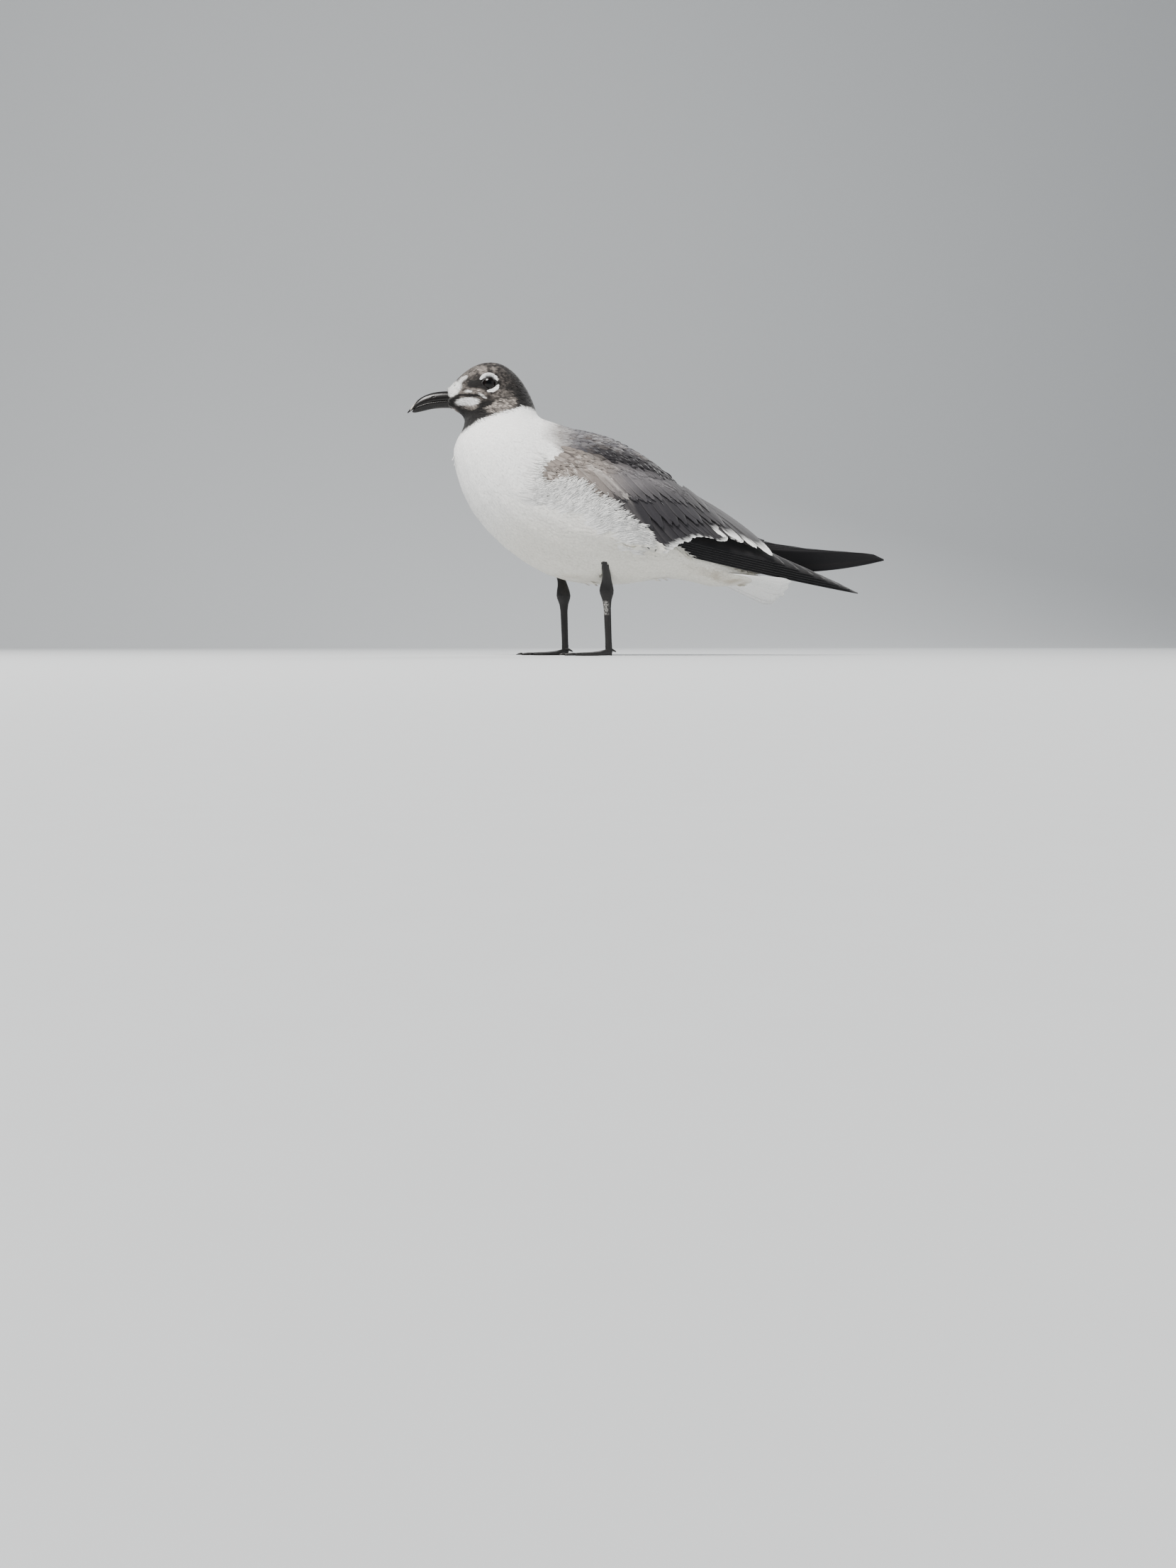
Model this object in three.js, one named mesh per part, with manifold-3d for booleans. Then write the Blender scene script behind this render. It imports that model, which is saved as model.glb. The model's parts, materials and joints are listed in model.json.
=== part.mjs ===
// A standing laughing gull in worn adult plumage: a still, life-size model such as a museum shows.
// Millimetres, +Z up. The bird faces -X, its left side is towards -Y, and its feet stand on z = 0.
// The body is one smooth loft parted by thin cuts. Wings, tail and limbs are let into it with a thin gap.
import * as THREE from "three";
import { mergeVertices } from "three/addons/utils/BufferGeometryUtils.js";
import Module from "manifold-3d";

const wasm = await Module();
wasm.setup();

// ---------------------------------------------------------------- driving dimensions
const gap = 0.3; // clear space between neighbouring solids
const room = 0.45; // how much larger a solid is built for cutting its place out of a neighbour
const ringSides = 20; // sides of a body section
const wingSides = 5; // points along each face of a wing's section
const ringsPerStation = 2; // body rings between two stations
const thinEdge = 0.3; // half the thickness of a feather's or a wing's edge

const eye = { radius: 5.6, x: -93.5, side: 13, z: 220 };
const legSide = 21; // each leg's distance from the middle plane
const legSides = 10; // sides of a shin's or a tarsus's section
const stemTop = 7; // where the foot ends and the tarsus stands on it
const toe = { length: 37, radius: 2.1, spread: 27, sides: 6 };
const toes = [
  { angle: -toe.spread, reach: 0.86 }, // inner toe
  { angle: 0, reach: 1 },
  { angle: toe.spread, reach: 0.9 },
];
const claw = { length: 5.5, radius: 1.25, sides: 6 };
const web = { thick: 1.1, reach: 0.9, notch: 0.8 };
const tail = {
  root: [76, 76], // x, z
  tip: [159, 55],
  halfRoot: 17,
  halfTip: 34,
  feathers: 12,
  thick: 1.4,
  step: 0.4, // from one feather's edge to the next one's middle
  arch: 3,
  twist: 12, // degrees that the tip is turned, left edge up
  rounding: 4, // how much shorter the outer feathers are
  scallop: 1.6,
};

// Each leg (x, z): its heel joint, where its shin leaves the belly, and where its toes join.
const legs = {
  left: { ankle: [2, 53.5], knee: [-6, 84], foot: [4, 5.5] },
  right: { ankle: [-28.5, 50.5], knee: [-35, 86], foot: [-27, 5.5] },
};
const jointEnd = 1.1; // how far the shin's heel joint runs on past the ankle, as a share of the shin

// Sections along the shin, the tarsus and a toe: the share of the length, and the half depth (fore
// and aft) and half width there. A toe's are given with its height and as shares of its radius.
const shinSections = [
  { share: 0, depth: 4.2, width: 3.4 },
  { share: 0.35, depth: 3, width: 2.6 },
  { share: 0.68, depth: 2.7, width: 2.4 },
  { share: 0.86, depth: 4, width: 3.2 },
  { share: 1, depth: 5.2, width: 3.8 },
  { share: jointEnd, depth: 4.4, width: 3.3 },
];
const tarsusSections = [
  { share: 0, depth: 3.8, width: 2.9 },
  { share: 0.1, depth: 3.1, width: 2.5 },
  { share: 0.25, depth: 2.5, width: 1.9 },
  { share: 0.8, depth: 2.4, width: 1.9 },
  { share: 1, depth: 3, width: 2.5 },
];
const toeSections = [
  { share: -0.03, height: 3.4, girth: 1.2 },
  { share: 0.18, height: 2.1, girth: 1.05 },
  { share: 0.4, height: 1.3, girth: 0.93 },
  { share: 0.62, height: 1.2, girth: 0.88 },
  { share: 0.84, height: 1.1, girth: 0.78 },
  { share: 1, height: 1.2, girth: 0.6 },
];
const hindToe = [
  { back: -1, height: 5.5, radius: 1.5 },
  { back: 3, height: 5, radius: 1.3 },
  { back: 6, height: 3.4, radius: 0.9 },
];
const stemSections = [
  { height: stemTop, depth: 3, width: 2.5 },
  { height: 4.5, depth: 3.1, width: 2.85 },
  { height: 0.5, depth: 2.5, width: 2.7 },
];
const clawSections = [
  { share: 0, height: 1.3, girth: 1 },
  { share: 0.45, height: 1.5, girth: 0.7 },
  { share: 1, height: 0.5, girth: 0.28 },
];

// Sections of the body from vent to bill: the points on the back and on the belly (x, z), the half
// width, and how far the widest place lies above the middle, as a share of the half depth.
const bodyStations = [
  { back: [134, 63], belly: [139, 48.5], half: 7, lift: 0 }, // end of the undertail coverts
  { back: [112, 80], belly: [114, 51.5], half: 19, lift: -0.1 },
  { back: [86, 103], belly: [87, 59.5], half: 28, lift: -0.1 }, // rump
  { back: [58, 128], belly: [56, 64.5], half: 38, lift: -0.1 }, // vent
  { back: [29, 156], belly: [22, 59.5], half: 45, lift: -0.1 },
  { back: [2, 177], belly: [-14, 59.5], half: 49.5, lift: -0.1 }, // belly
  { back: [-20, 185.5], belly: [-47, 68], half: 51.5, lift: -0.08 },
  { back: [-36, 190.5], belly: [-80, 89], half: 51, lift: -0.05 }, // breast
  { back: [-43, 192.5], belly: [-107, 118.5], half: 48, lift: -0.02 },
  { back: [-48, 193.5], belly: [-119.5, 149], half: 42.5, lift: 0 }, // crop
  { back: [-52.5, 196.5], belly: [-121.5, 169.5], half: 34.5, lift: 0 },
  { back: [-54.5, 203.5], belly: [-115.5, 182], half: 25.5, lift: -0.04 }, // lower edge of the hood
  { back: [-60, 216.5], belly: [-112.5, 190], half: 19.6, lift: -0.1 }, // nape
  { back: [-70, 230], belly: [-113.5, 194.5], half: 17.9, lift: -0.1 },
  { back: [-82, 238], belly: [-116, 197], half: 17.2, lift: -0.06 }, // crown and eye
  { back: [-95, 239], belly: [-119, 198.7], half: 15.6, lift: -0.06 },
  { back: [-107, 234.5], belly: [-121.5, 199.5], half: 13, lift: -0.08 }, // brow
  { back: [-117, 226.5], belly: [-124, 200.2], half: 9.8, lift: -0.08 },
  { back: [-124.5, 218.5], belly: [-126, 200.8], half: 7.2, lift: -0.05 }, // lores
  { back: [-129, 215], belly: [-128, 201.5], half: 5.4, lift: 0 }, // foot of the bill
];
// Where the body is parted, in station numbers, and how far each length is held back from a cut.
const bodyCuts = { rump: [0, 2.5], trunk: [2.5, 9], neck: [9, 11], head: [11, 19], halfGap: 0.016 };

// Sections of the folded wing across the body, from the bend of the wing to the tertials' tips:
// upper and lower edge (distance from the middle plane, z), outward bulge and thickness.
const wingStations = [
  { x: -74, upper: [41, 150], lower: [42.5, 134], bulge: 1.5, thick: 4 },
  { x: -60, upper: [40, 161], lower: [44, 118], bulge: 6, thick: 8 },
  { x: -34, upper: [37, 169], lower: [48, 104], bulge: 9.5, thick: 10 },
  { x: 2, upper: [31, 166], lower: [48, 91], bulge: 11.5, thick: 10 },
  { x: 38, upper: [23, 154], lower: [46, 83], bulge: 10, thick: 9 },
  { x: 68, upper: [14, 137], lower: [41, 92], bulge: 7.5, thick: 7 },
  { x: 96, upper: [8, 118], lower: [34, 92], bulge: 5, thick: 5 },
  { x: 124, upper: [6, 103], lower: [26, 86], bulge: 2.5, thick: 3.2 },
  { x: 146, upper: [8, 93.5], lower: [17, 79], bulge: 0.8, thick: 1.8 },
];

// Shoulder feathers that overhang the wing's upper edge: the same kind of sections.
const scapularStations = [
  { x: -44, upper: [18, 186], lower: [33, 174], bulge: 2, thick: 4 },
  { x: -26, upper: [12, 185.5], lower: [41, 165], bulge: 5, thick: 8 },
  { x: 4, upper: [9, 179.5], lower: [40, 157], bulge: 6.5, thick: 9 },
  { x: 34, upper: [7, 163.5], lower: [32, 150.5], bulge: 5.5, thick: 7 },
  { x: 56, upper: [6, 149], lower: [20, 140], bulge: 3, thick: 4.5 },
  { x: 68, upper: [7, 137.5], lower: [12, 135], bulge: 0.8, thick: 2 },
];

// Sections of the bill from inside the face to its tip: its ridge, its cutting edge and its foot (z).
const billStations = [
  { x: -122, ridge: 214.6, seam: 207.2, foot: 201.4, half: 5.2 },
  { x: -128, ridge: 215.2, seam: 207, foot: 201.6, half: 5 },
  { x: -136, ridge: 214.2, seam: 206.2, foot: 200.9, half: 4.5 },
  { x: -143, ridge: 212, seam: 205, foot: 199.4, half: 4 },
  { x: -149, ridge: 208.8, seam: 203, foot: 197.8, half: 3.3 },
  { x: -153.5, ridge: 204.4, seam: 200, foot: 197, half: 2.5 },
  { x: -156.5, ridge: 200.8, seam: 198, foot: 196.6, half: 1.8 },
  { x: -159.2, ridge: 197.6, seam: 196.8, foot: 196, half: 0.8 },
];
const lowerBillEnd = 5; // the station where the lower half ends, behind the hook

// Folded primaries: the outermost quill's leading edge (root, bend and tip as x, side, z), the way
// the vane spreads from it at root and tip (side, z), and how the inner quills step back.
const primaries = {
  left: {
    root: [52, 36, 87],
    bend: [136, 20, 66],
    tip: [223, -4, 52.5],
    spreadRoot: [-0.3, 1],
    spreadTip: [-1, 0.55],
  },
  right: {
    root: [52, 36, 93],
    bend: [150, 14, 56],
    tip: [246, -9, 81.5],
    spreadRoot: [-0.3, 1],
    spreadTip: [-0.75, 1],
  },
};
const quill = {
  count: 5,
  width: 23,
  narrowing: 0.6, // how much narrower each quill is than the next one out
  thick: 1.6,
  pitch: 1.1, // from one quill to the one that lies on it
  stepBack: [0, 8, 20, 34, 50], // how far each tip lies behind the outermost
  stepUp: 2,
  taper: 0.5, // the share of the length where the tip begins to round off
};

// ---------------------------------------------------------------- materials
const finish = (hex, roughness) => new THREE.MeshStandardMaterial({ color: hex, roughness, metalness: 0 });
const materials = {
  white: finish(0xf1f2f2, 0.85),
  grey: finish(0x77767a, 0.8),
  hood: finish(0x3d3734, 0.85),
  black: finish(0x141315, 0.7),
  horn: finish(0x17140f, 0.4),
  leg: finish(0x1c1716, 0.55),
  eye: finish(0x0c0806, 0.08),
};

// ---------------------------------------------------------------- solids from rings of points
// A closed body through rings of equal length, each end closed by a fan round its middle.
function loft(rings) {
  const sides = rings[0].length;
  const points = rings.flat();
  const index = [];
  for (let r = 0; r + 1 < rings.length; r++) {
    for (let s = 0; s < sides; s++) {
      const a = r * sides + s;
      const b = r * sides + ((s + 1) % sides);
      index.push(a, b, a + sides, b, b + sides, a + sides);
    }
  }
  const close = (first, turned) => {
    const middle = new THREE.Vector3();
    for (let s = 0; s < sides; s++) middle.addScaledVector(points[first + s], 1 / sides);
    const hub = points.push(middle) - 1;
    for (let s = 0; s < sides; s++) {
      const a = first + s;
      const b = first + ((s + 1) % sides);
      index.push(...(turned ? [hub, a, b] : [hub, b, a]));
    }
  };
  close(0, false);
  close((rings.length - 1) * sides, true);
  return solidFrom(new THREE.BufferGeometry().setFromPoints(points).setIndex(index));
}

// A manifold-3d solid from a closed geometry, turned right side out if it needs it.
function solidFrom(geometry) {
  const bare = geometry.clone();
  bare.deleteAttribute("normal");
  bare.deleteAttribute("uv");
  const merged = mergeVertices(bare, 1e-4);
  const vertProperties = new Float32Array(merged.attributes.position.array);
  const triVerts = new Uint32Array(merged.index.array);
  const made = new wasm.Manifold(new wasm.Mesh({ numProp: 3, vertProperties, triVerts }));
  if (made.volume() > 0) return made;
  const turned = triVerts.map((v, i) => triVerts[i % 3 === 1 ? i + 1 : i % 3 === 2 ? i - 1 : i]);
  return new wasm.Manifold(new wasm.Mesh({ numProp: 3, vertProperties, triVerts: turned }));
}

function geometryOf(solid) {
  const mesh = solid.getMesh();
  const positions = new Float32Array(mesh.numVert * 3);
  for (let i = 0; i < mesh.numVert; i++) {
    positions.set(mesh.vertProperties.subarray(i * mesh.numProp, i * mesh.numProp + 3), i * 3);
  }
  const geometry = new THREE.BufferGeometry();
  geometry.setAttribute("position", new THREE.BufferAttribute(positions, 3));
  geometry.setIndex(new THREE.BufferAttribute(new Uint32Array(mesh.triVerts), 1));
  return geometry;
}

const largest = (solid) => solid.decompose().reduce((a, b) => (b.volume() > a.volume() ? b : a));
const cut = (solid, ...tools) => largest(tools.reduce((left, tool) => left.subtract(tool), solid));
const join = (solids) => solids.reduce((a, b) => a.add(b));

// ---------------------------------------------------------------- smooth values between stations
// The stations are read by number, whole or not, on a Catmull-Rom curve through each of their values.
const numbersOf = (station) => Object.values(station).flat();

function between(stations, t) {
  const i = Math.min(Math.floor(t), stations.length - 2);
  const f = t - i;
  const near = [i - 1, i, i + 1, i + 2].map((k) => THREE.MathUtils.clamp(k, 0, stations.length - 1));
  const rows = near.map((k) => numbersOf(stations[k]));
  return rows[1].map((b, k) => {
    const [a, , c, d] = rows.map((row) => row[k]);
    return b + 0.5 * f * (c - a + f * (2 * a - 5 * b + 4 * c - d + f * (3 * (b - c) + d - a)));
  });
}

// ---------------------------------------------------------------- body
function bodyRing(t) {
  const [backX, backZ, bellyX, bellyZ, half, lift] = between(bodyStations, t);
  const ring = [];
  for (let s = 0; s < ringSides; s++) {
    const turn = (2 * Math.PI * s) / ringSides;
    const along = 0.5 + 0.5 * (Math.cos(turn) + lift * Math.sin(turn) ** 2);
    ring.push(
      new THREE.Vector3(
        bellyX + along * (backX - bellyX),
        half * Math.sin(turn),
        bellyZ + along * (backZ - bellyZ),
      ),
    );
  }
  return ring;
}

// The stretch of the body between two station numbers, held back from each cut by half the gap.
function bodyLength(from, to) {
  const start = from > 0 ? from + bodyCuts.halfGap : from;
  const end = to < bodyStations.length - 1 ? to - bodyCuts.halfGap : to;
  const steps = Math.round((to - from) * ringsPerStation);
  const rings = [];
  for (let i = 0; i <= steps; i++) rings.push(bodyRing(start + ((end - start) * i) / steps));
  return loft(rings);
}

// ---------------------------------------------------------------- folded wing and shoulder feathers
// One section: its outer face bulges away from the body, and its inner face lies the thickness in.
function foldedSection([x, upperSide, upperZ, lowerSide, lowerZ, bulge, thick], side, grow, shift) {
  const ring = [];
  const chordSide = lowerSide - upperSide;
  const chordZ = lowerZ - upperZ;
  const length = Math.hypot(chordSide, chordZ);
  const outSide = -chordZ / length;
  const outZ = chordSide / length;
  const place = (share, out) => {
    const run = share + ((2 * share - 1) * grow) / length;
    return new THREE.Vector3(
      x + shift,
      side * (upperSide + run * chordSide + out * outSide),
      upperZ + run * chordZ + out * outZ,
    );
  };
  for (let i = 0; i < wingSides; i++) {
    const share = i / (wingSides - 1);
    ring.push(place(share, thinEdge + grow + bulge * Math.sin(Math.PI * share)));
  }
  for (let i = wingSides - 1; i >= 0; i--) {
    const share = i / (wingSides - 1);
    ring.push(place(share, -thinEdge - grow + (bulge - thick) * Math.sin(Math.PI * share)));
  }
  return ring;
}

// A folded wing, or a shoulder's feathers, through its sections. Grown, it is the place for it.
function folded(stations, side, grow = 0) {
  const steps = (stations.length - 1) * 2;
  const rings = [];
  for (let i = 0; i <= steps; i++) {
    const shift = i === 0 ? -grow : i === steps ? grow : 0;
    rings.push(foldedSection(between(stations, i / 2), side, grow, shift));
  }
  return loft(rings);
}

// ---------------------------------------------------------------- long feathers
// A vane that spreads from its leading edge. The section is a flat lens with thin edges, and the
// breadth swells from the root and rounds off past the taper.
function vane({ edge, spreadRoot, spreadTip, width, thick, taper, rings = 5, grow = 0 }) {
  const made = [];
  const edgeHalf = thinEdge + grow;
  for (let i = 0; i < rings; i++) {
    const t = i / (rings - 1);
    const along = edge.getTangent(t);
    const start = edge.getPoint(t).addScaledVector(along, (2 * t - 1) * grow);
    const spread = spreadRoot.clone().lerp(spreadTip, t);
    spread.addScaledVector(along, -spread.dot(along)).normalize();
    const out = along.clone().cross(spread);
    const beyond = Math.max(0, (t - taper) / (1 - taper));
    const swelling = 0.8 + 0.2 * Math.min(1, t * 3);
    const breadth = width * swelling * Math.sqrt(Math.max(0.01, 1 - beyond * beyond));
    const half = thick / 2 + grow;
    const upper = [[-grow, edgeHalf], [breadth * 0.4, half], [breadth + grow, edgeHalf]];
    const lower = upper.map(([run, depth]) => [run, -depth]).reverse();
    const place = ([run, depth]) => start.clone().addScaledVector(spread, run).addScaledVector(out, depth);
    made.push([...upper, ...lower].map(place));
  }
  return loft(made);
}

// One wing's folded primaries: each quill starts and ends behind the next one out and lies above it.
function primaryFan(name, side, grow = 0) {
  const { root, bend, tip, spreadRoot, spreadTip } = primaries[name];
  const point = ([x, across, z]) => new THREE.Vector3(x, side * across, z);
  const towards = ([across, z]) => new THREE.Vector3(0, side * across, z).normalize();
  const quills = [];
  for (let q = 0; q < quill.count; q++) {
    const lift = towards(spreadRoot).multiplyScalar(q * quill.stepUp);
    const outward = new THREE.Vector3(0, side * q * quill.pitch, 0);
    const shift = (p) => point(p).add(lift).add(outward);
    const whole = new THREE.QuadraticBezierCurve3(shift(root), shift(bend), shift(tip));
    const share = 1 - quill.stepBack[q] / whole.getLength();
    const [start, half, end] = [0, 0.5, 1].map((s) => whole.getPoint(s * share));
    const control = half.clone().multiplyScalar(2).addScaledVector(start, -0.5).addScaledVector(end, -0.5);
    const edge = new THREE.QuadraticBezierCurve3(start, control, end);
    quills.push(
      vane({
        edge,
        spreadRoot: towards(spreadRoot),
        spreadTip: towards(spreadTip),
        width: quill.width - q * quill.narrowing,
        thick: quill.thick,
        taper: quill.taper,
        grow,
      }),
    );
  }
  return join(quills);
}

// The tail's feathers as one low-arched fan: each feather's edge stands a step above the next one
// out, and each ends in a round tip. Grown, it is the slot that the fan stands in.
function tailFan(grow = 0) {
  const steps = 4;
  const columns = tail.feathers * 2;
  const twist = THREE.MathUtils.degToRad(tail.twist);
  const rings = [];
  for (let i = 0; i <= steps; i++) {
    const t = i / steps;
    const half = THREE.MathUtils.lerp(tail.halfRoot, tail.halfTip, t) + grow;
    const face = (way) =>
      Array.from({ length: columns + 1 }, (_, c) => {
        const across = (2 * c) / columns - 1;
        const rounded = tail.rounding * across * across + (c % 2 ? 0 : tail.scallop);
        const reach = tail.tip[0] - rounded + grow;
        const ridge = c % 2 || grow ? tail.step : 0;
        const drop = tail.arch * across * across + across * half * Math.sin(t * twist);
        return new THREE.Vector3(
          THREE.MathUtils.lerp(tail.root[0] - grow, reach, t),
          across * half,
          THREE.MathUtils.lerp(tail.root[1], tail.tip[1], t) - drop + way * (tail.thick / 2 + ridge + grow),
        );
      });
    rings.push([...face(1), ...face(-1).reverse()]);
  }
  return loft(rings);
}

// ---------------------------------------------------------------- bill and eyes
// Upper and lower half of the bill. The upper half's end hooks down over the lower one's.
function billHalf(upper, grow = 0) {
  const sides = 8;
  const last = upper ? billStations.length - 1 : lowerBillEnd;
  const steps = upper ? 11 : 8;
  const fullness = upper ? -0.5 : 0.5; // the widest place is near the cutting edge
  const rings = [];
  for (let i = 0; i <= steps; i++) {
    const t = i / steps;
    const [x, ridge, seam, foot, half] = between(billStations, t * last);
    const hooked = upper ? THREE.MathUtils.smoothstep(t, 0.74, 0.86) : 0;
    const top = upper ? ridge : seam - gap;
    const base = upper ? THREE.MathUtils.lerp(seam, foot, hooked) : foot;
    const narrow = upper ? 1 : 0.86;
    const ring = [];
    for (let s = 0; s < sides; s++) {
      const turn = (2 * Math.PI * s) / sides;
      const up = 0.5 + 0.5 * (Math.cos(turn) + fullness * Math.sin(turn) ** 2);
      ring.push(
        new THREE.Vector3(
          x + (1 - 2 * t) * grow,
          (half * narrow + grow) * Math.sin(turn),
          base - grow + up * (top - base + 2 * grow),
        ),
      );
    }
    rings.push(ring);
  }
  return loft(rings);
}

function eyeball(side, grow = 0) {
  const ball = new THREE.SphereGeometry(eye.radius + grow, 12, 7);
  ball.translate(eye.x, side * eye.side, eye.z);
  return solidFrom(ball);
}

// ---------------------------------------------------------------- legs and feet
// A limb along points, each with its half depth (fore and aft) and half width. Its ends are flat.
function limb(stations, sides, grow = 0) {
  const made = stations.map(({ at, depth, width }, i) => {
    const before = stations[Math.max(0, i - 1)].at;
    const after = stations[Math.min(stations.length - 1, i + 1)].at;
    const along = after.clone().sub(before).normalize();
    const across = new THREE.Vector3(0, 1, 0).addScaledVector(along, -along.y).normalize();
    const fore = along.clone().cross(across);
    const end = i === 0 ? -grow : i === stations.length - 1 ? grow : 0;
    const ring = [];
    for (let s = 0; s < sides; s++) {
      const turn = (2 * Math.PI * s) / sides;
      ring.push(
        at
          .clone()
          .addScaledVector(along, end)
          .addScaledVector(fore, (depth + grow) * Math.cos(turn))
          .addScaledVector(across, (width + grow) * Math.sin(turn)),
      );
    }
    return ring;
  });
  return loft(made);
}

// The shin's bare end and its heel joint.
function tibia(name, side, grow = 0) {
  const { ankle, knee } = legs[name];
  const stations = shinSections.map(({ share, depth, width }) => {
    const x = THREE.MathUtils.lerp(knee[0], ankle[0], share);
    const z = THREE.MathUtils.lerp(knee[1], ankle[1], share);
    return { at: new THREE.Vector3(x, side * legSide, z), depth, width };
  });
  return limb(stations, legSides, grow);
}

// The tarsus runs from the heel joint's end down into the foot's stem: its neighbours cut its ends.
function tarsusOf(name, side) {
  const { ankle, knee, foot } = legs[name];
  const top = THREE.MathUtils.lerp(knee[1], ankle[1], jointEnd);
  const stations = tarsusSections.map(({ share, depth, width }) => {
    const x = THREE.MathUtils.lerp(ankle[0], foot[0], share);
    const z = THREE.MathUtils.lerp(top, foot[1] - 0.5, share);
    return { at: new THREE.Vector3(x, side * legSide, z), depth, width };
  });
  return limb(stations, legSides);
}

// A place on the ground round a foot's joint, at an angle from straight ahead.
function onGround(name, side, angle, distance) {
  const turn = THREE.MathUtils.degToRad(angle);
  const x = legs[name].foot[0] - distance * Math.cos(turn);
  return new THREE.Vector2(x, side * (legSide + distance * Math.sin(turn)));
}

function toeOf(name, side, { angle, reach }) {
  const stations = toeSections.map(({ share, height, girth }) => {
    const spot = onGround(name, side, angle, share * toe.length * reach);
    const radius = toe.radius * girth;
    return { at: new THREE.Vector3(spot.x, spot.y, height), depth: radius, width: radius };
  });
  return limb(stations, toe.sides);
}

// A web's outline runs out along one toe, in to its notch and back along the next.
function webOf(name, side, inner, outer) {
  const middle = (inner.angle + outer.angle) / 2;
  const reach = toe.length * web.reach;
  const shape = new THREE.Shape();
  shape.moveTo(...onGround(name, side, middle, 0).toArray());
  shape.lineTo(...onGround(name, side, inner.angle, reach * inner.reach).toArray());
  const notch = onGround(name, side, middle, reach * web.notch);
  const end = onGround(name, side, outer.angle, reach * outer.reach);
  shape.quadraticCurveTo(notch.x, notch.y, end.x, end.y);
  const flat = { depth: web.thick, bevelEnabled: false, curveSegments: 3 };
  return solidFrom(new THREE.ExtrudeGeometry(shape, flat));
}

// Everything below a height, to cut a flat sole or a flat end.
function below(height) {
  const depth = 40;
  const block = new THREE.BoxGeometry(600, 300, depth);
  block.translate(0, 0, height - depth / 2);
  return solidFrom(block);
}

function footOf(name, side) {
  const [x] = legs[name].foot;
  const [inner, middle, outer] = toes;
  const hind = hindToe.map(({ back, height, radius }) => ({
    at: new THREE.Vector3(x + back, side * (legSide - 1.5), height),
    depth: radius,
    width: radius,
  }));
  const stem = stemSections.map(({ height, depth, width }) => ({
    at: new THREE.Vector3(x, side * legSide, height),
    depth,
    width,
  }));
  const webs = [webOf(name, side, inner, middle), webOf(name, side, middle, outer)];
  const digits = toes.map((digit) => toeOf(name, side, digit));
  return join([...digits, limb(hind, toe.sides), limb(stem, legSides), ...webs]).subtract(below(0));
}

// Claws curve down from the toes' ends to the ground.
function clawOf(name, side, { angle, reach }) {
  const start = toe.length * reach + gap;
  const stations = clawSections.map(({ share, height, girth }) => {
    const spot = onGround(name, side, angle, start + share * claw.length);
    const radius = claw.radius * girth;
    return { at: new THREE.Vector3(spot.x, spot.y, height), depth: radius, width: radius };
  });
  return limb(stations, claw.sides).subtract(below(0));
}

// ---------------------------------------------------------------- assembly
const gull = new THREE.Group();

function add(name, solid, material) {
  const mesh = new THREE.Mesh(geometryOf(solid), material);
  mesh.name = name;
  gull.add(mesh);
}

const sides = { left: -1, right: 1 };
const names = Object.keys(sides);

const scapularRoom = names.map((name) => folded(scapularStations, sides[name], room));
const armRoom = names.map((name) => folded(wingStations, sides[name], room));
const fanRoom = names.map((name) => primaryFan(name, sides[name], room));
const shinRoom = names.map((name) => tibia(name, sides[name], room));
const eyeRoom = names.map((name) => eyeball(sides[name], room));

const scapulars = names.map((name) => folded(scapularStations, sides[name]));
const arms = names.map((name, i) => cut(folded(wingStations, sides[name]), scapularRoom[i]));
const rightFan = cut(primaryFan("right", sides.right), ...armRoom);
const leftFan = cut(primaryFan("left", sides.left), ...armRoom, fanRoom[1]); // it passes under the right
const fans = [leftFan, rightFan];

const billLower = cut(billHalf(false), billHalf(true, gap));
const head = cut(bodyLength(...bodyCuts.head), ...eyeRoom, billHalf(true, room), billHalf(false, room));
const neck = bodyLength(...bodyCuts.neck);
const wingRoom = [...scapularRoom, ...armRoom, ...fanRoom, ...shinRoom];
const trunk = cut(bodyLength(...bodyCuts.trunk), ...wingRoom);
const rump = cut(bodyLength(...bodyCuts.rump), ...wingRoom, tailFan(room));

add("head", head, materials.hood);
add("neck", neck, materials.white);
add("trunk", trunk, materials.white);
add("rump", rump, materials.white);
add("tail", tailFan(), materials.white);
add("bill_upper", billHalf(true), materials.horn);
add("bill_lower", billLower, materials.horn);

names.forEach((name, i) => {
  const side = sides[name];
  add(`eye_${name}`, eyeball(side), materials.eye);
  add(`scapulars_${name}`, scapulars[i], materials.grey);
  add(`wing_${name}`, arms[i], materials.grey);
  add(`primaries_${name}`, fans[i], materials.black);
  add(`tibia_${name}`, tibia(name, side), materials.leg);
  const tarsus = cut(tarsusOf(name, side), shinRoom[i], below(stemTop + gap));
  add(`tarsus_${name}`, tarsus, materials.leg);
  add(`foot_${name}`, footOf(name, side), materials.leg);
  toes.forEach((digit, t) => add(`claw_${name}_${t + 1}`, clawOf(name, side, digit), materials.horn));
});

// The origin is under the middle of the whole bird.
const whole = new THREE.Box3().setFromObject(gull);
const middle = whole.getCenter(new THREE.Vector3());
gull.position.set(-middle.x, -middle.y, 0);

export default gull;
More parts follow.
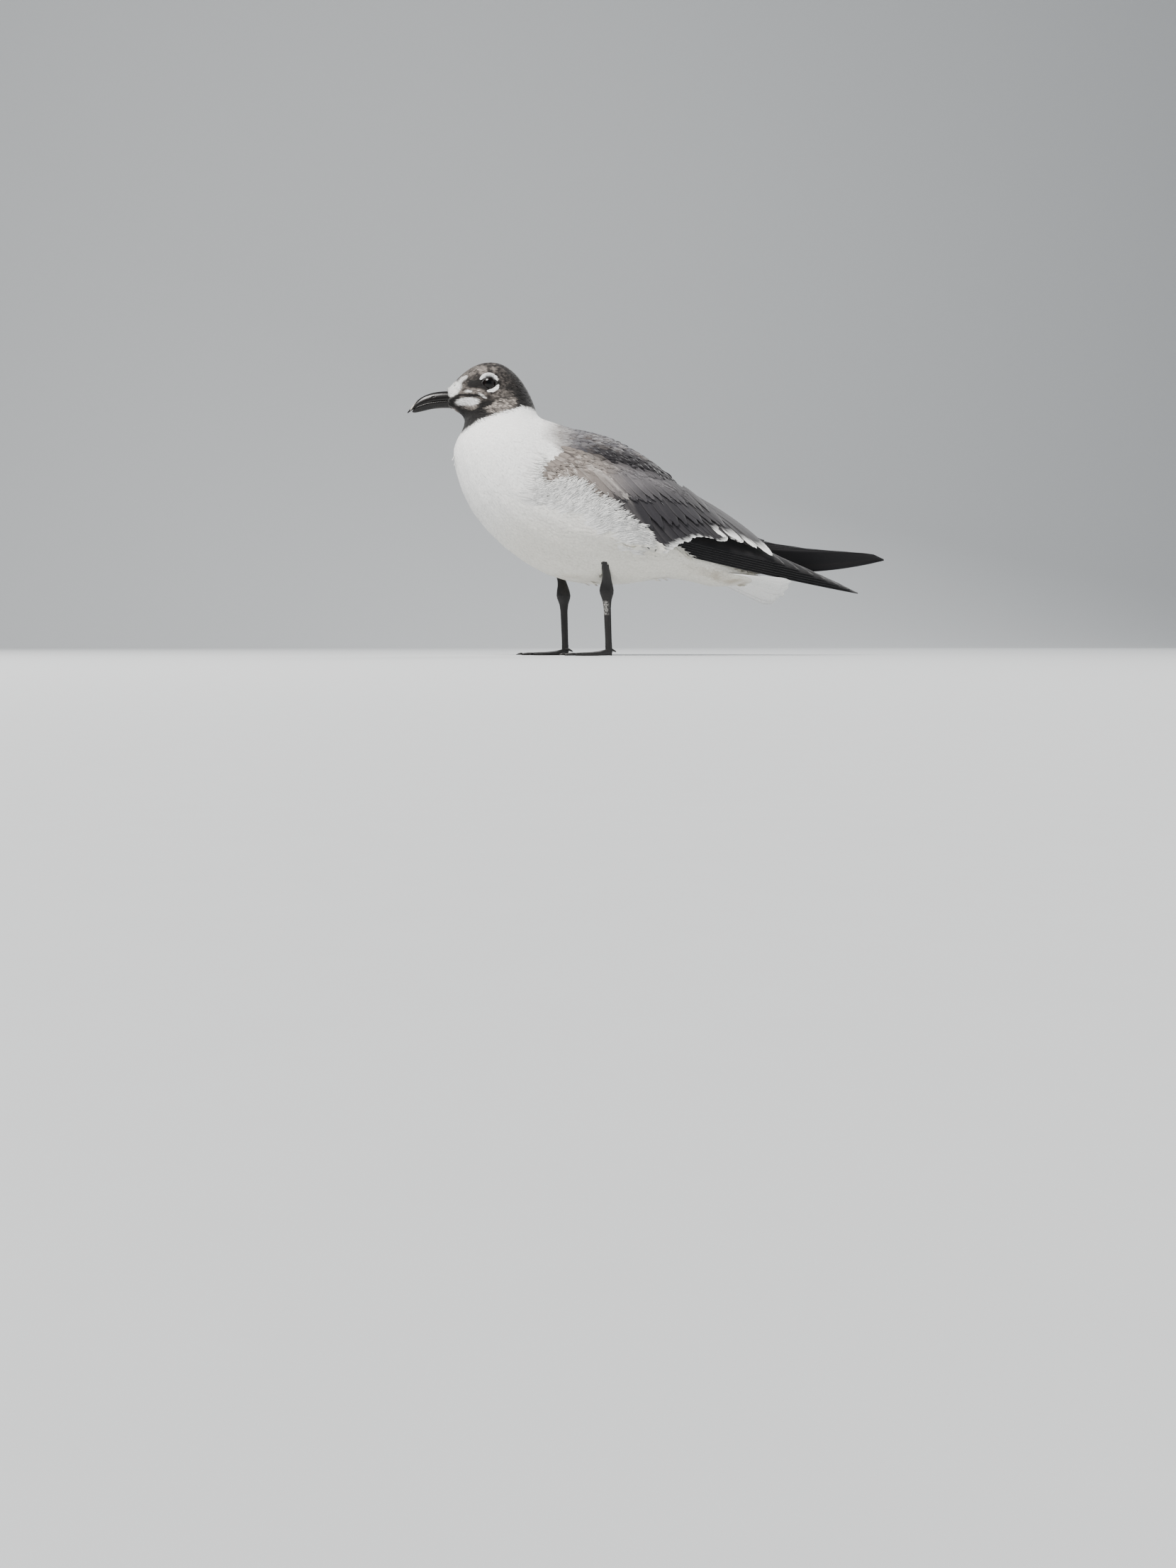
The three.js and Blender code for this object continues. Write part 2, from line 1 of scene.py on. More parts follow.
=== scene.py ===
import math
from contextlib import contextmanager
from itertools import product
import bpy
import numpy as np
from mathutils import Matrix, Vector, noise
from mathutils.bvhtree import BVHTree
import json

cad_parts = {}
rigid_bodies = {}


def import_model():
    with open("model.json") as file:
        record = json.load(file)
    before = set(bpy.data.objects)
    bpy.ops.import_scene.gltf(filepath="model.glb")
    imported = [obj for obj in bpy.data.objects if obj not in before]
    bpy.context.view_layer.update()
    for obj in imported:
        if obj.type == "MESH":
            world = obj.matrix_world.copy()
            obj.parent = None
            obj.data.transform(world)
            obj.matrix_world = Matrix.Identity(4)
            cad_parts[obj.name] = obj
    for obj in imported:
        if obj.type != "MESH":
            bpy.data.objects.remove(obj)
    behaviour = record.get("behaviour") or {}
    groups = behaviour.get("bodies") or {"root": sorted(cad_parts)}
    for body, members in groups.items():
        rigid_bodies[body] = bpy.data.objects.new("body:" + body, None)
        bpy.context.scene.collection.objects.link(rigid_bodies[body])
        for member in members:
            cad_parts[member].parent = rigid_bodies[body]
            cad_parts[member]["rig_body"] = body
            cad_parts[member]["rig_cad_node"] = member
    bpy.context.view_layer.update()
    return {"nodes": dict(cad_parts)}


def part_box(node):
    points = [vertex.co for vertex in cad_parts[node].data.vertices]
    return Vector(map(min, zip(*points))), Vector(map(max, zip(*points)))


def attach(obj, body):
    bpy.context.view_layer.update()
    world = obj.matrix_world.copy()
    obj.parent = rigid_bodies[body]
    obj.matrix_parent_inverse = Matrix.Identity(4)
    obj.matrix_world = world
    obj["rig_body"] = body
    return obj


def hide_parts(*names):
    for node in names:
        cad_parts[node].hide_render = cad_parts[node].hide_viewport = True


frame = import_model()
chance = np.random.default_rng(7)  # one seeded source for every random choice, so each run is the same
mm = 0.001


def middle(node):
    low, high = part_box(node)
    return (low + high) / 2


# Lengths along the bird are taken from the shoulder, which lies this far behind the eyes.
shoulderX = middle("eye_left").x + 93.5 * mm


def toBird(points):  # metres in the frame to millimetres on the bird
    return (np.asarray(points, float) - [shoulderX, 0, 0]) / mm


def toFrame(points):
    return np.asarray(points, float) * mm + [shoulderX, 0, 0]


# ---- colours and materials


def linear(hexColour):  # sRGB hex to the linear numbers that shaders use
    parts = [int(hexColour[i:i + 2], 16) / 255 for i in (1, 3, 5)]
    return np.array([c / 12.92 if c <= 0.04045 else ((c + 0.055) / 1.055) ** 2.4 for c in parts])


def opaque(hexColour):
    return (*linear(hexColour), 1)


class Paint:  # a material in the making, with the kinds of node that these surfaces need
    def __init__(self, name):
        self.material = bpy.data.materials.new(name)
        self.material.use_nodes = True
        self.tree = self.material.node_tree
        self.tree.nodes.clear()

    def add(self, kind, links=None, output=0, **settings):
        made = self.tree.nodes.new("ShaderNode" + kind)
        for name, value in settings.items():
            setattr(made, name, value)
        for socket, value in (links or {}).items():
            if isinstance(value, bpy.types.NodeSocket):
                self.tree.links.new(value, made.inputs[socket])
            else:
                made.inputs[socket].default_value = value
        return made.outputs[output] if made.outputs else made

    def math(self, operation, *values):
        return self.add("Math", dict(enumerate(values)), operation=operation)

    def product(self, value, *others):
        for other in others:
            value = self.math("MULTIPLY", value, other)
        return value

    def ranged(self, value, *ends):  # a value moved from one pair of ends to another, and held between them
        return self.add("MapRange", dict(enumerate((value, *ends))))

    def mix(self, share, first, second):
        return self.add("Mix", {0: share, 6: first, 7: second}, 2, data_type="RGBA")

    def noise(self, place, scale, detail=2.0, roughness=0.5):
        inputs = {"Vector": place, "Scale": scale, "Detail": detail, "Roughness": roughness}
        return self.add("TexNoise", inputs, "Fac")

    def scaled(self, colour, factor):
        return self.add("VectorMath", {0: colour, "Scale": factor}, operation="SCALE")

    def bump(self, height, strength, depthMm):
        return self.add("Bump", {"Height": height, "Strength": strength, "Distance": depthMm * mm})

    def parts(self, vector):
        return tuple(self.add("SeparateXYZ", {0: vector}).node.outputs)

    def place(self):
        return self.add("TexCoord", output="Object")

    def onBird(self, x=0, z=0, axes=(1, 1, 1)):  # place in mm from a point of the bird's middle plane
        offset = (-shoulderX / mm - x, 0, -z)
        scale = tuple(axis / mm for axis in axes)
        return self.add("Mapping", {"Vector": self.place(), "Location": offset, "Scale": scale})

    def finish(self, inputs):
        self.add("OutputMaterial", {"Surface": self.add("BsdfPrincipled", inputs)})
        return self.material


plumageFinish = {
    "roughness": 0.72, "sheen": 0.25, "sheenRoughness": 0.5, "specular": 0.22, "mottle": 0.10,
    "mottleMm": 1.6, "barbMottle": 0.06, "barbMm": 0.45, "barbDepth": 0.12, "barbStrength": 0.5,
    "barbSlant": -1.3,
}


def plumageMaterial(name, finish):
    # Keratin barbs lying side by side: matt, faintly silky, with fine lines that slant off each shaft.
    paint = Paint(name)
    colour = paint.add("Attribute", output="Color", attribute_name="plumage")
    mottle = paint.noise(paint.place(), 1 / (finish["mottleMm"] * mm), 3.0, 0.6)
    shade = paint.ranged(mottle, 0.3, 0.7, 1 - finish["mottle"], 1 + finish["mottle"])
    across, along, feather = paint.parts(paint.add("Attribute", output="Vector", attribute_name="vane"))
    slant = paint.math("MULTIPLY_ADD", paint.math("ABSOLUTE", across), finish["barbSlant"], along)
    barbs = paint.noise(paint.add("CombineXYZ", {"X": slant, "Y": feather}), 1 / finish["barbMm"], 2.0, 0.55)
    barbShade = paint.ranged(barbs, 0.3, 0.7, 1 - finish["barbMottle"], 1 + finish["barbMottle"])
    return paint.finish({
        "Base Color": paint.scaled(colour, paint.product(shade, barbShade)),
        "Normal": paint.bump(barbs, finish["barbStrength"], finish["barbDepth"]),
        "Roughness": finish["roughness"], "Specular IOR Level": finish["specular"],
        "Sheen Weight": finish["sheen"], "Sheen Roughness": finish["sheenRoughness"]})


plumage = plumageMaterial("featherKeratin", plumageFinish)

# ---- the outer form of the coat, and the skin under it


def select(*objects):
    bpy.ops.object.select_all(action="DESELECT")
    for one in objects:
        one.select_set(True)
    bpy.context.view_layer.objects.active = objects[0]


@contextmanager
def editing(piece):  # edit mode with all of the piece selected
    select(piece)
    bpy.ops.object.mode_set(mode="EDIT")
    bpy.ops.mesh.select_all(action="SELECT")
    yield
    bpy.ops.object.mode_set(mode="OBJECT")


def applyModifier(piece, kind, **settings):
    select(piece)
    modifier = piece.modifiers.new(kind.lower(), kind)
    for name, value in settings.items():
        setattr(modifier, name, value)
    bpy.ops.object.modifier_apply(modifier=modifier.name)


def joinedCopy(name, nodes):
    copies = []
    for node in nodes:
        one = frame["nodes"][node].copy()
        one.data = one.data.copy()
        one.parent = None
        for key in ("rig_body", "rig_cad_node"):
            del one[key]
        bpy.context.scene.collection.objects.link(one)
        copies.append(one)
    select(*copies)
    bpy.ops.object.join()
    joined = bpy.context.object
    joined.name = joined.data.name = name
    with editing(joined):
        bpy.ops.mesh.remove_doubles(threshold=0.00001)
    return joined


sides = ("left", "right")
bodyNodes = ["head", "neck", "trunk", "rump"]
scapularNodes = ["scapulars_" + side for side in sides]
wingNodes = ["wing_" + side for side in sides]
formSettings = {"voxel": 1.7 * mm, "smoothing": 0.5, "passes": 7}

form = joinedCopy("plumageForm", bodyNodes + scapularNodes + wingNodes)
applyModifier(form, "REMESH", mode="VOXEL", voxel_size=formSettings["voxel"])
applyModifier(form, "SMOOTH", factor=formSettings["smoothing"], iterations=formSettings["passes"])


def readVertices(mesh, kind="co"):
    values = np.zeros(len(mesh.vertices) * 3)
    mesh.vertices.foreach_get(kind, values)
    return values.reshape(-1, 3)


def placeVertices(mesh, points):
    mesh.vertices.foreach_set("co", toFrame(points).ravel().astype(np.float32))


class Surface:  # a mesh as arrays, with its smooth normals and a tree for finding the nearest place on it
    def __init__(self, piece):
        mesh = piece.data
        self.points = toBird(readVertices(mesh))
        self.normals = readVertices(mesh, "normal")
        mesh.calc_loop_triangles()
        self.triangles = np.zeros(len(mesh.loop_triangles) * 3, int)
        mesh.loop_triangles.foreach_get("vertices", self.triangles)
        self.triangles = self.triangles.reshape(-1, 3)
        self.tree = BVHTree.FromPolygons(self.points.tolist(), self.triangles.tolist())

    def nearest(self, places):  # the nearest point, its smooth normal and its triangle, for each place
        found = np.zeros((len(places), 3))
        faces = np.zeros(len(places), int)
        for i, place in enumerate(places.tolist()):
            point, _, face, _ = self.tree.find_nearest(place)
            found[i] = point
            faces[i] = face
        normals = self.normals[self.triangles[faces]].mean(axis=1)
        return found, unit(normals), faces

    def distances(self, places):
        return np.array([self.tree.find_nearest(place)[3] for place in places.tolist()])


def step(low, high, value):
    t = np.clip((value - low) / (high - low), 0, 1)
    return t * t * (3 - 2 * t)


def unit(vectors):
    return vectors / np.maximum(np.linalg.norm(vectors, axis=-1, keepdims=True), 1e-9)


# Where the belly coat parts round each shin (x, y), and each shin's middle line from the top down.
legPockets = {"left": (-4, -25), "right": (-31, 25)}
shinLines = [((-2.0, -34.5, 76), (2.0, -23.5, 62)), ((-34.0, 31.0, 76), (-29.3, 22.6, 61))]
pocketSettings = {"depth": 1.2, "spread": 6.5, "below": 100, "groove": 0.6, "width": 4.5, "fade": (82, 68)}


def besideShins(points):  # how far each point is from the nearer shin's middle line
    gaps = []
    for top, foot in np.array(shinLines, float):
        run = foot - top
        t = np.clip((points - top) @ run / (run @ run), 0, 1.6)
        gaps.append(np.linalg.norm(points - top - t[:, None] * run, axis=1))
    return np.minimum(*gaps)


def pressPockets(piece, settings):
    mesh = piece.data
    points, inwards = toBird(readVertices(mesh)), -readVertices(mesh, "normal")
    downward = np.clip(inwards[:, 2], 0, 1)
    for x, y in legPockets.values():
        away = ((points[:, 0] - x) ** 2 + (points[:, 1] - y) ** 2) / (2 * settings["spread"] ** 2)
        points[:, 2] += settings["depth"] * np.exp(-away) * downward * (points[:, 2] < settings["below"])
    deepening = settings["groove"] * step(*settings["fade"], points[:, 2])
    points += inwards * (deepening * np.exp(-(besideShins(points) / settings["width"]) ** 2))[:, None]
    placeVertices(mesh, points)
    mesh.update()


tailPlane = {"x": [76, 112, 140, 159], "z": [76, 70, 63, 55.5], "share": [0.1, 0.9, 1, 1], "twist": 19}
taperSettings = {
    "from": 90, "to": 132, "below": 0.86, "above": 0.9, "half": 34,
    "underWings": ([86, 110, 140], [84, 74, 70]),
}


def tailHeight(points):  # height of the fanned tail's middle sheet at each point's place
    along = np.interp(points[:, 0], tailPlane["x"], tailPlane["share"])
    middle = np.interp(points[:, 0], tailPlane["x"], tailPlane["z"])
    return middle - points[:, 1] * np.sin(np.radians(tailPlane["twist"]) * along)


def taperRump(piece, settings):  # draws the rump's end down to the sheet of the tail, where the coverts lie
    points = toBird(readVertices(piece.data))
    gap = points[:, 2] - tailHeight(points)
    share = np.clip((points[:, 0] - settings["from"]) / (settings["to"] - settings["from"]), 0, 1) ** 1.3
    narrow = np.abs(points[:, 1]) < settings["half"]
    low = points[:, 2] < np.interp(points[:, 0], *settings["underWings"])
    points[:, 2] -= gap * (np.where(gap < 0, settings["below"], settings["above"]) * share * narrow) * low
    placeVertices(piece.data, points)
    piece.data.update()


taperRump(form, taperSettings)
pressPockets(form, pocketSettings)
outer = Surface(form)
print("plumage form:", len(outer.points), "points")

# ---- the skin: the form of the coat, let in by the coat's depth, with its markings

coatDepths = {"head": 1.1, "body": 3.2, "mantle": 2.4, "wing": 2.0}  # mm
hoodEdge = {"x": [-117, -101, -90, -75, -67, -57], "z": [181, 190, 194, 198.5, 201.5, 201]}  # its lower edge
shadeHexes = {
    "white": "#fbfaf7", "creamShade": "#e0dccf", "soilAndShadow": "#8d7b5b",
    "hoodBlack": "#0e0b0a", "hoodBrown": "#1f1a18", "hoodPale": "#8c847d", "chin": "#b5a49a",
    "mantle": "#57565b", "mantleBrown": "#54493f", "mantlePale": "#b4b0ac", "mantleDark": "#1f1c1f",
    "covert": "#857c75", "covertDark": "#413a37", "covertPale": "#c2bcb6",
    "slate": "#28262a", "quill": "#0f0e11", "quillWorn": "#2a2420",
}
shades = {name: linear(value) for name, value in shadeHexes.items()}


def mix(colours, *layers):  # lays a shade, or a colour for each point, over the colours by its share
    for shade, share in layers:
        over = shades[shade] if isinstance(shade, str) else shade
        colours = colours + (over - colours) * np.asarray(share)[..., None]
    return colours


def ripple(points, size, offset=0.0):  # smooth noise from -1 to 1 with waves of the given size in mm
    aside = Vector((offset, offset, offset))
    return np.array([noise.noise(Vector(p) / size + aside) for p in points.tolist()])


def spot(x, z, centre, longHalf, shortHalf, tilt=0.0, soft=0.25):  # share of an oval mark in the side view
    turn = math.radians(tilt)
    along = ((x - centre[0]) * math.cos(turn) + (z - centre[1]) * math.sin(turn)) / longHalf
    up = ((z - centre[1]) * math.cos(turn) - (x - centre[0]) * math.sin(turn)) / shortHalf
    return 1 - step(1 - soft, 1 + soft, np.hypot(along, up))


# Oval marks of the face and hood in the order they are laid on: shade, centre x and z, half length and
# height, tilt, strength.
faceMarks = [
    ("hoodPale", (-112, 215), 6, 4.5, 20, 0.5),  # lores, frosted
    ("hoodPale", (-104, 212.6), 9, 3.0, -8, 0.75),  # frosted stripe over the gape
    ("white", (-110, 213.2), 2.6, 1.2, 0, 0.6),
    ("white", (-99, 209.6), 3.6, 1.2, -28, 0.6),
    ("hoodBlack", (-103, 219.6), 9.0, 3.2, 10, 1.0),  # streak ahead of the eye
    ("hoodBlack", (-93.5, 220), 8.4, 6.2, 0, 1.0),  # dark round the eye
    ("hoodPale", (-98, 231.5), 3.6, 3.4, 0, 0.85),  # pale patches on the crown
    ("hoodPale", (-89, 232), 2.6, 2.2, 0, 0.55),
    ("hoodPale", (-82, 211), 9, 4, 8, 0.3),  # cheek
    ("hoodPale", (-83, 202.2), 16.5, 4.6, 15, 0.95),  # buff band under the cheek
    ("hoodBlack", (-97, 202.6), 7, 2.6, 24, 1.0),  # between the malar patch and the band
    ("hoodBlack", (-103, 194), 9, 5.5, 22, 1.0),
    ("hoodBlack", (-113, 190), 8, 12, 15, 1.0),  # throat
    ("hoodBlack", (-124, 206.4), 8, 4.8, 0, 1.0),  # behind the bill's base
    ("white", (-110.8, 204.9), 8.8, 3.1, 2, 1.0),  # malar patch
    ("hoodPale", (-108.5, 201.0), 6.0, 2.2, 6, 0.9),
    ("hoodBlack", (-109, 209.9), 12, 0.95, -4, 1.0),  # line behind the gape
    ("hoodPale", (-108, 229.5), 10, 3.4, 34, 0.7),  # frosted forehead
    ("white", (-121.8, 216.0), 7.6, 4.9, 50, 1.0),  # forehead patch
    ("white", (-114.8, 223.6), 5.0, 2.4, 38, 0.6),
    ("hoodBlack", (-62, 208), 9, 14, -12, 1.0),  # nape
    ("chin", (-126, 199.6), 8.0, 1.7, -13, 0.9),  # bare skin showing under the chin
]
eyeCentre = (-93.5, 220.0)
crescents = [  # white marks over and under the eye: middle radius, first and last angle, half thickness
    {"radius": 6.5, "from": 16, "to": 160, "half": 2.1},
    {"radius": 6.4, "from": -104, "to": -5, "half": 1.65},
]


def crescentShare(x, z):
    share = np.zeros(len(x))
    angle = np.degrees(np.arctan2(z - eyeCentre[1], x - eyeCentre[0]))
    radius = np.hypot((x - eyeCentre[0]) * 0.86, z - eyeCentre[1])
    for one in crescents:
        t = (angle - one["from"]) / (one["to"] - one["from"])
        half = one["half"] * np.sqrt(np.clip(np.sin(np.pi * np.clip(t, 0, 1)), 0, 1))
        inside = (np.abs(radius - one["radius"]) < half) & (t > 0) & (t < 1)
        share = np.maximum(share, inside)
    return share


def markings(points):  # the bird's colours in linear light, for skin and coat alike
    x, side, z = points[:, 0], np.abs(points[:, 1]), points[:, 2]
    broad = ripple(points, 9.0)
    fine = ripple(points, 2.2, 31.0)
    # painted shade: the coat turns cream-grey towards the belly's underside, partly a faint cream tint, mostly
    # shade painted where less light reaches
    below = step(-0.15, 0.6, (135 - z) / 90) * step(-130, -60, x)
    # painted shadow: an olive-brown smudge along the belly's underside, round the legs
    bellyShadow = spot(x, z, (-30, 60), 30, 6) * (0.5 + broad)
    ventSoil = spot(x, z, (108, 63), 34, 3.6, -13, 0.6) * (0.7 + 0.8 * broad)
    aboveEdge = z - mantleEdge(x)
    mantle = step(-55, -34, x + 2.5 * fine + 3 * broad + 0.22 * (185 - z)) * step(-13, -5, aboveEdge)
    brown = np.clip(0.15 + 0.9 * fine + 0.6 * broad, 0, 1) * step(-50, -30, x)
    grey = mix(
        np.tile(shades["mantle"], (len(points), 1)),
        ("mantlePale", 0.85 * step(-22, -46, x + 6 * broad)), ("mantleBrown", 0.8 * brown),
        ("mantlePale", 0.5 * np.clip(spot(x, z, (-8, 173), 24, 7, -14) * (0.1 - 1.4 * fine), 0, 1)),
        # painted shade: the scapulars' lower edge goes near black, where they overhang the wing
        ("mantleDark", 0.98 * step(15, 7, aboveEdge + 3 * broad) * step(-32, -2, x)),
        ("mantleDark", 0.35 * step(10, 52, x + 8 * broad) * step(4, 12, side)))
    colours = mix(
        np.tile(shades["white"], (len(points), 1)),
        ("creamShade", 0.75 * below), ("soilAndShadow", 0.30 * np.clip(bellyShadow, 0, 1)),
        ("soilAndShadow", 0.6 * np.clip(ventSoil, 0, 1)), (grey, mantle),
        ("white", step(84, 100, x + 3 * broad) * mantle))  # rump and tail coverts are white again
    hood = step(-1.2, 1.2, z - np.interp(x, hoodEdge["x"], hoodEdge["z"]) + 0.5 * fine) * step(-42, -52, x)
    frost = np.clip(0.75 + fine, 0.1, 1)
    marks = []
    for shade, *oval, strength in faceMarks:
        share = strength * spot(x + 0.9 * fine, z + 0.9 * broad, *oval)
        marks.append((shade, share * (frost if shade == "hoodPale" else 1)))
    head = mix(
        np.tile(shades["hoodBrown"], (len(points), 1)),
        ("hoodPale", 0.42 * np.clip(0.25 + 1.3 * fine, 0, 1) * step(-66, -84, x)),
        ("hoodBlack", 0.8 * step(-90, -66, x + 5 * broad)), *marks,
        ("hoodBlack", 0.7 * np.clip(spot(x, z, (-112, 225), 12, 5, 40) * (fine * 2.2 - 0.25), 0, 1)),
        ("white", crescentShare(x, z)))
    return mix(colours, (head, hood))


mantleLine = {
    "x": [-46, -35, -20, 7, 24, 38, 56, 70, 86, 110],
    "z": [180, 169, 161.5, 156.5, 152.5, 149.5, 141, 128, 112, 92],
}
slateLine = {"x": [-10, 8, 30, 57, 90, 145], "z": [110, 130, 135, 134, 126, 100]}
paleStripe = {"x": [-18, -1, 17, 27], "z": [153, 142, 124, 111], "half": 2.6}


def mantleEdge(x):
    return np.interp(x, mantleLine["x"], mantleLine["z"])


def wingShade(points):  # the wing's colour from place: mottled beige grey in front, slate behind and below
    x, z = points[:, 0], points[:, 2]
    fine = ripple(points, 2.4, 5.0)
    broad = ripple(points, 9.0, 9.0)
    above = z - np.interp(x, slateLine["x"], slateLine["z"]) + 5 * broad
    fromStripe = np.abs(z - np.interp(x, paleStripe["x"], paleStripe["z"]))
    stripe = np.clip(1 - fromStripe / paleStripe["half"], 0, 1) * step(-20, -12, x) * step(22, 12, x)
    return mix(
        np.tile(shades["covert"], (len(points), 1)),
        ("covertDark", 0.75 * np.clip(0.1 + 1.5 * fine, 0, 1) * step(25, -25, x)),
        ("covertPale", 0.6 * np.clip(-0.1 - 1.5 * fine, 0, 1) * step(15, -30, x)),
        ("mantle", 0.8 * step(-18, 22, x + 8 * broad)),
        ("slate", 0.98 * step(9, -9, above)),
        ("slate", 0.6 * step(38, 72, x + 6 * broad)),
        # painted shadow: near black just under the scapulars' edge, cast by them onto the coverts
        ("mantleDark", 0.65 * step(7, 0, mantleEdge(x) - z) * step(-30, 0, x)),
        ("covertPale", 0.75 * stripe))


# How the coat lies: place in the side view (x, z), lie (0 towards the tail, -90 down), and the length and
# width of a feather there, in mm.
lieOfCoat = [
    (-95, 227, 8, 1.8, 0.8), (-101, 224.5, 20, 1.8, 0.8), (-87.5, 224.5, -14, 1.8, 0.8),
    (-86, 218, -10, 1.8, 0.8), (-90, 214.5, -4, 1.8, 0.8), (-97, 214, -8, 1.8, 0.8),
    (-124, 217, 25, 2.2, 0.9), (-116, 224, 20, 2.8, 1.1), (-104, 233, 8, 3.6, 1.4),
    (-90, 239, -6, 4.5, 1.7), (-76, 234, -32, 5.0, 2.0), (-64, 221, -62, 5.5, 2.2),
    (-57, 208, -75, 6.5, 2.6), (-117, 212, 5, 2.2, 0.9), (-106, 216, -2, 2.6, 1.0),
    (-94, 229, 4, 2.6, 1.0), (-102, 222, 0, 2.2, 0.9), (-84, 224, -14, 3.4, 1.3),
    (-94, 211, -14, 2.6, 1.0), (-84, 214, -16, 3.6, 1.3), (-74, 214, -24, 4.8, 1.8),
    (-82, 204, -12, 5.0, 1.8), (-110, 204, -14, 3.0, 1.2), (-122, 200, -20, 2.4, 1.0),
    (-100, 197, -20, 4.2, 1.6), (-113, 192, -55, 4.5, 1.8), (-66, 205, -32, 6.0, 2.3),
    (-117, 181, -84, 3.4, 1.5), (-108, 185, -68, 3.4, 1.5), (-100, 188, -58, 3.4, 1.5),
    (-90, 191.5, -50, 3.4, 1.5), (-82, 195, -48, 3.4, 1.5), (-75, 198, -46, 3.4, 1.5),
    (-67, 199.5, -44, 3.6, 1.6), (-60, 199.5, -48, 3.8, 1.6), (-119, 170, -88, 9, 4.0),
    (-99, 176, -60, 10, 4.4), (-60, 192, -42, 10, 4.6), (-45, 190, -22, 11, 5.2),
    (-121, 160, -90, 10, 4.6), (-100, 160, -74, 12, 5.4), (-80, 165, -62, 12, 5.6),
    (-62, 172, -42, 12, 5.6), (-118, 138, -84, 12, 5.4), (-95, 135, -66, 13, 6.0),
    (-70, 140, -50, 13, 6.0), (-104, 112, -62, 13, 6.0), (-80, 112, -45, 14, 6.2),
    (-58, 125, -36, 14, 6.0), (-84, 92, -42, 13, 6.0), (-55, 75, -26, 13, 6.0), (-40, 100, -22, 14, 6.0),
    (-15, 62, -8, 13, 6.0), (-10, 90, -14, 14, 6.0), (25, 60, 0, 13, 6.0), (25, 80, -8, 14, 6.0),
    (55, 66, -4, 14, 6.0), (60, 78, -10, 14, 6.0), (90, 59, -8, 15, 6.0), (90, 72, -12, 14, 6.0),
    (110, 54, -9, 11, 4.6), (110, 66, -14, 12, 5.0), (130, 53, -12, 8, 3.4), (130, 60, -14, 8, 3.4),
    (-30, 184, -18, 13, 7.0), (-30, 172, -24, 15, 8.0), (-5, 178, -22, 15, 8.0), (-5, 165, -24, 18, 9.0),
    (20, 164, -28, 18, 9.0), (20, 156, -26, 20, 9.5), (45, 150, -32, 20, 9.5), (60, 140, -38, 20, 9.0),
    (75, 118, -40, 15, 7.0), (95, 98, -38, 14, 6.5), (120, 78, -30, 16, 6.5),
]
lieOfCoverts = [  # the same for the small coverts of the wing
    (-60, 156, -42, 9, 3.4), (-46, 161, -28, 11, 4.0), (-20, 164, -22, 13, 4.6), (-40, 147, -48, 11, 4.0),
    (-15, 149, -36, 14, 4.6), (5, 155, -28, 15, 5.0), (10, 139, -42, 15, 4.8), (35, 147, -33, 16, 5.2),
    (60, 138, -37, 16, 5.4), (40, 129, -42, 16, 5.2), (90, 113, -38, 15, 5.4), (0, 123, -48, 12, 4.2),
    (18, 106, -50, 11, 4.0),
]


def lieAt(points, entries=lieOfCoat):  # lie, length and width at each point, blended from the nearest entries
    table = np.array(entries, float)
    gaps = np.hypot(points[:, None, 0] - table[None, :, 0], points[:, None, 2] - table[None, :, 1])
    weights = 1 / (gaps + 0.5) ** 3
    weights /= weights.sum(axis=1, keepdims=True)
    turn = np.radians(table[:, 2])
    along = weights @ np.stack([np.cos(turn), np.sin(turn)], axis=1)
    directions = unit(np.stack([along[:, 0], np.zeros(len(points)), along[:, 1]], axis=1))
    return directions, weights @ table[:, 3], weights @ table[:, 4]


def headShare(points):  # 1 on the head, 0 from the neck down
    line = np.interp(points[:, 0], hoodEdge["x"], hoodEdge["z"])
    return step(-6, 3, points[:, 2] - line) * step(-44, -52, points[:, 0])


# Which CAD form each part of the coat lies on, read from the nearest one.
owners = {"body": bodyNodes, "mantle": scapularNodes, "wing": wingNodes}
ownerForms = {}
for owner, nodes in owners.items():
    joined = joinedCopy(owner + "Form", nodes)
    ownerForms[owner] = Surface(joined)
    bpy.data.objects.remove(joined)
ownerGaps = np.stack([ownerForms[owner].distances(outer.points) for owner in owners], axis=1)
ownerNames = np.array(list(owners))[ownerGaps.argmin(axis=1)]

# along the wing's front and lower edge: x, z, lie of the flank's locks there, and how many rows deep they are
flankTable = np.array([
    (-63, 131, -10, 2), (-53, 134, 2, 3), (-43, 138, 16, 4), (-33, 139, 26, 5), (-21, 135, 27, 5),
    (-8, 128, 22, 5), (4, 119, 15, 5), (13, 111, 6, 4), (21, 103, -4, 4), (29, 95, -14, 3),
    (34, 91, -20, 2),
], float)
# loose ends of the breast's side, lying over the front of the wing
shoulderTable = np.array([
    (-55, 155, -36, 1), (-55, 150, -26, 1), (-57, 144, -14, 1), (-60, 138, -8, 1),
], float)
# the brown coverts start behind and below this line
bareShoulder = {"x": [-56, -50, -37, -20], "z": [149, 153.5, 163, 168]}


def flankEdge(x, **ends):
    return np.interp(x, flankTable[:, 0], flankTable[:, 1], **ends)


formX, formY, formZ = outer.points.T
underFlank = (formZ < flankEdge(formX) - 1.5) & (formX < 38) & (ownerNames == "wing")
ownerNames[underFlank] = "body"
wingFront = (formX > -55) & (formX < -15) & (np.abs(formY) > 18) & (formZ > flankEdge(formX) - 1.5)
wingFront &= (formZ < np.interp(formX, bareShoulder["x"], bareShoulder["z"])) & (ownerNames == "body")
ownerNames[wingFront] = "wing"


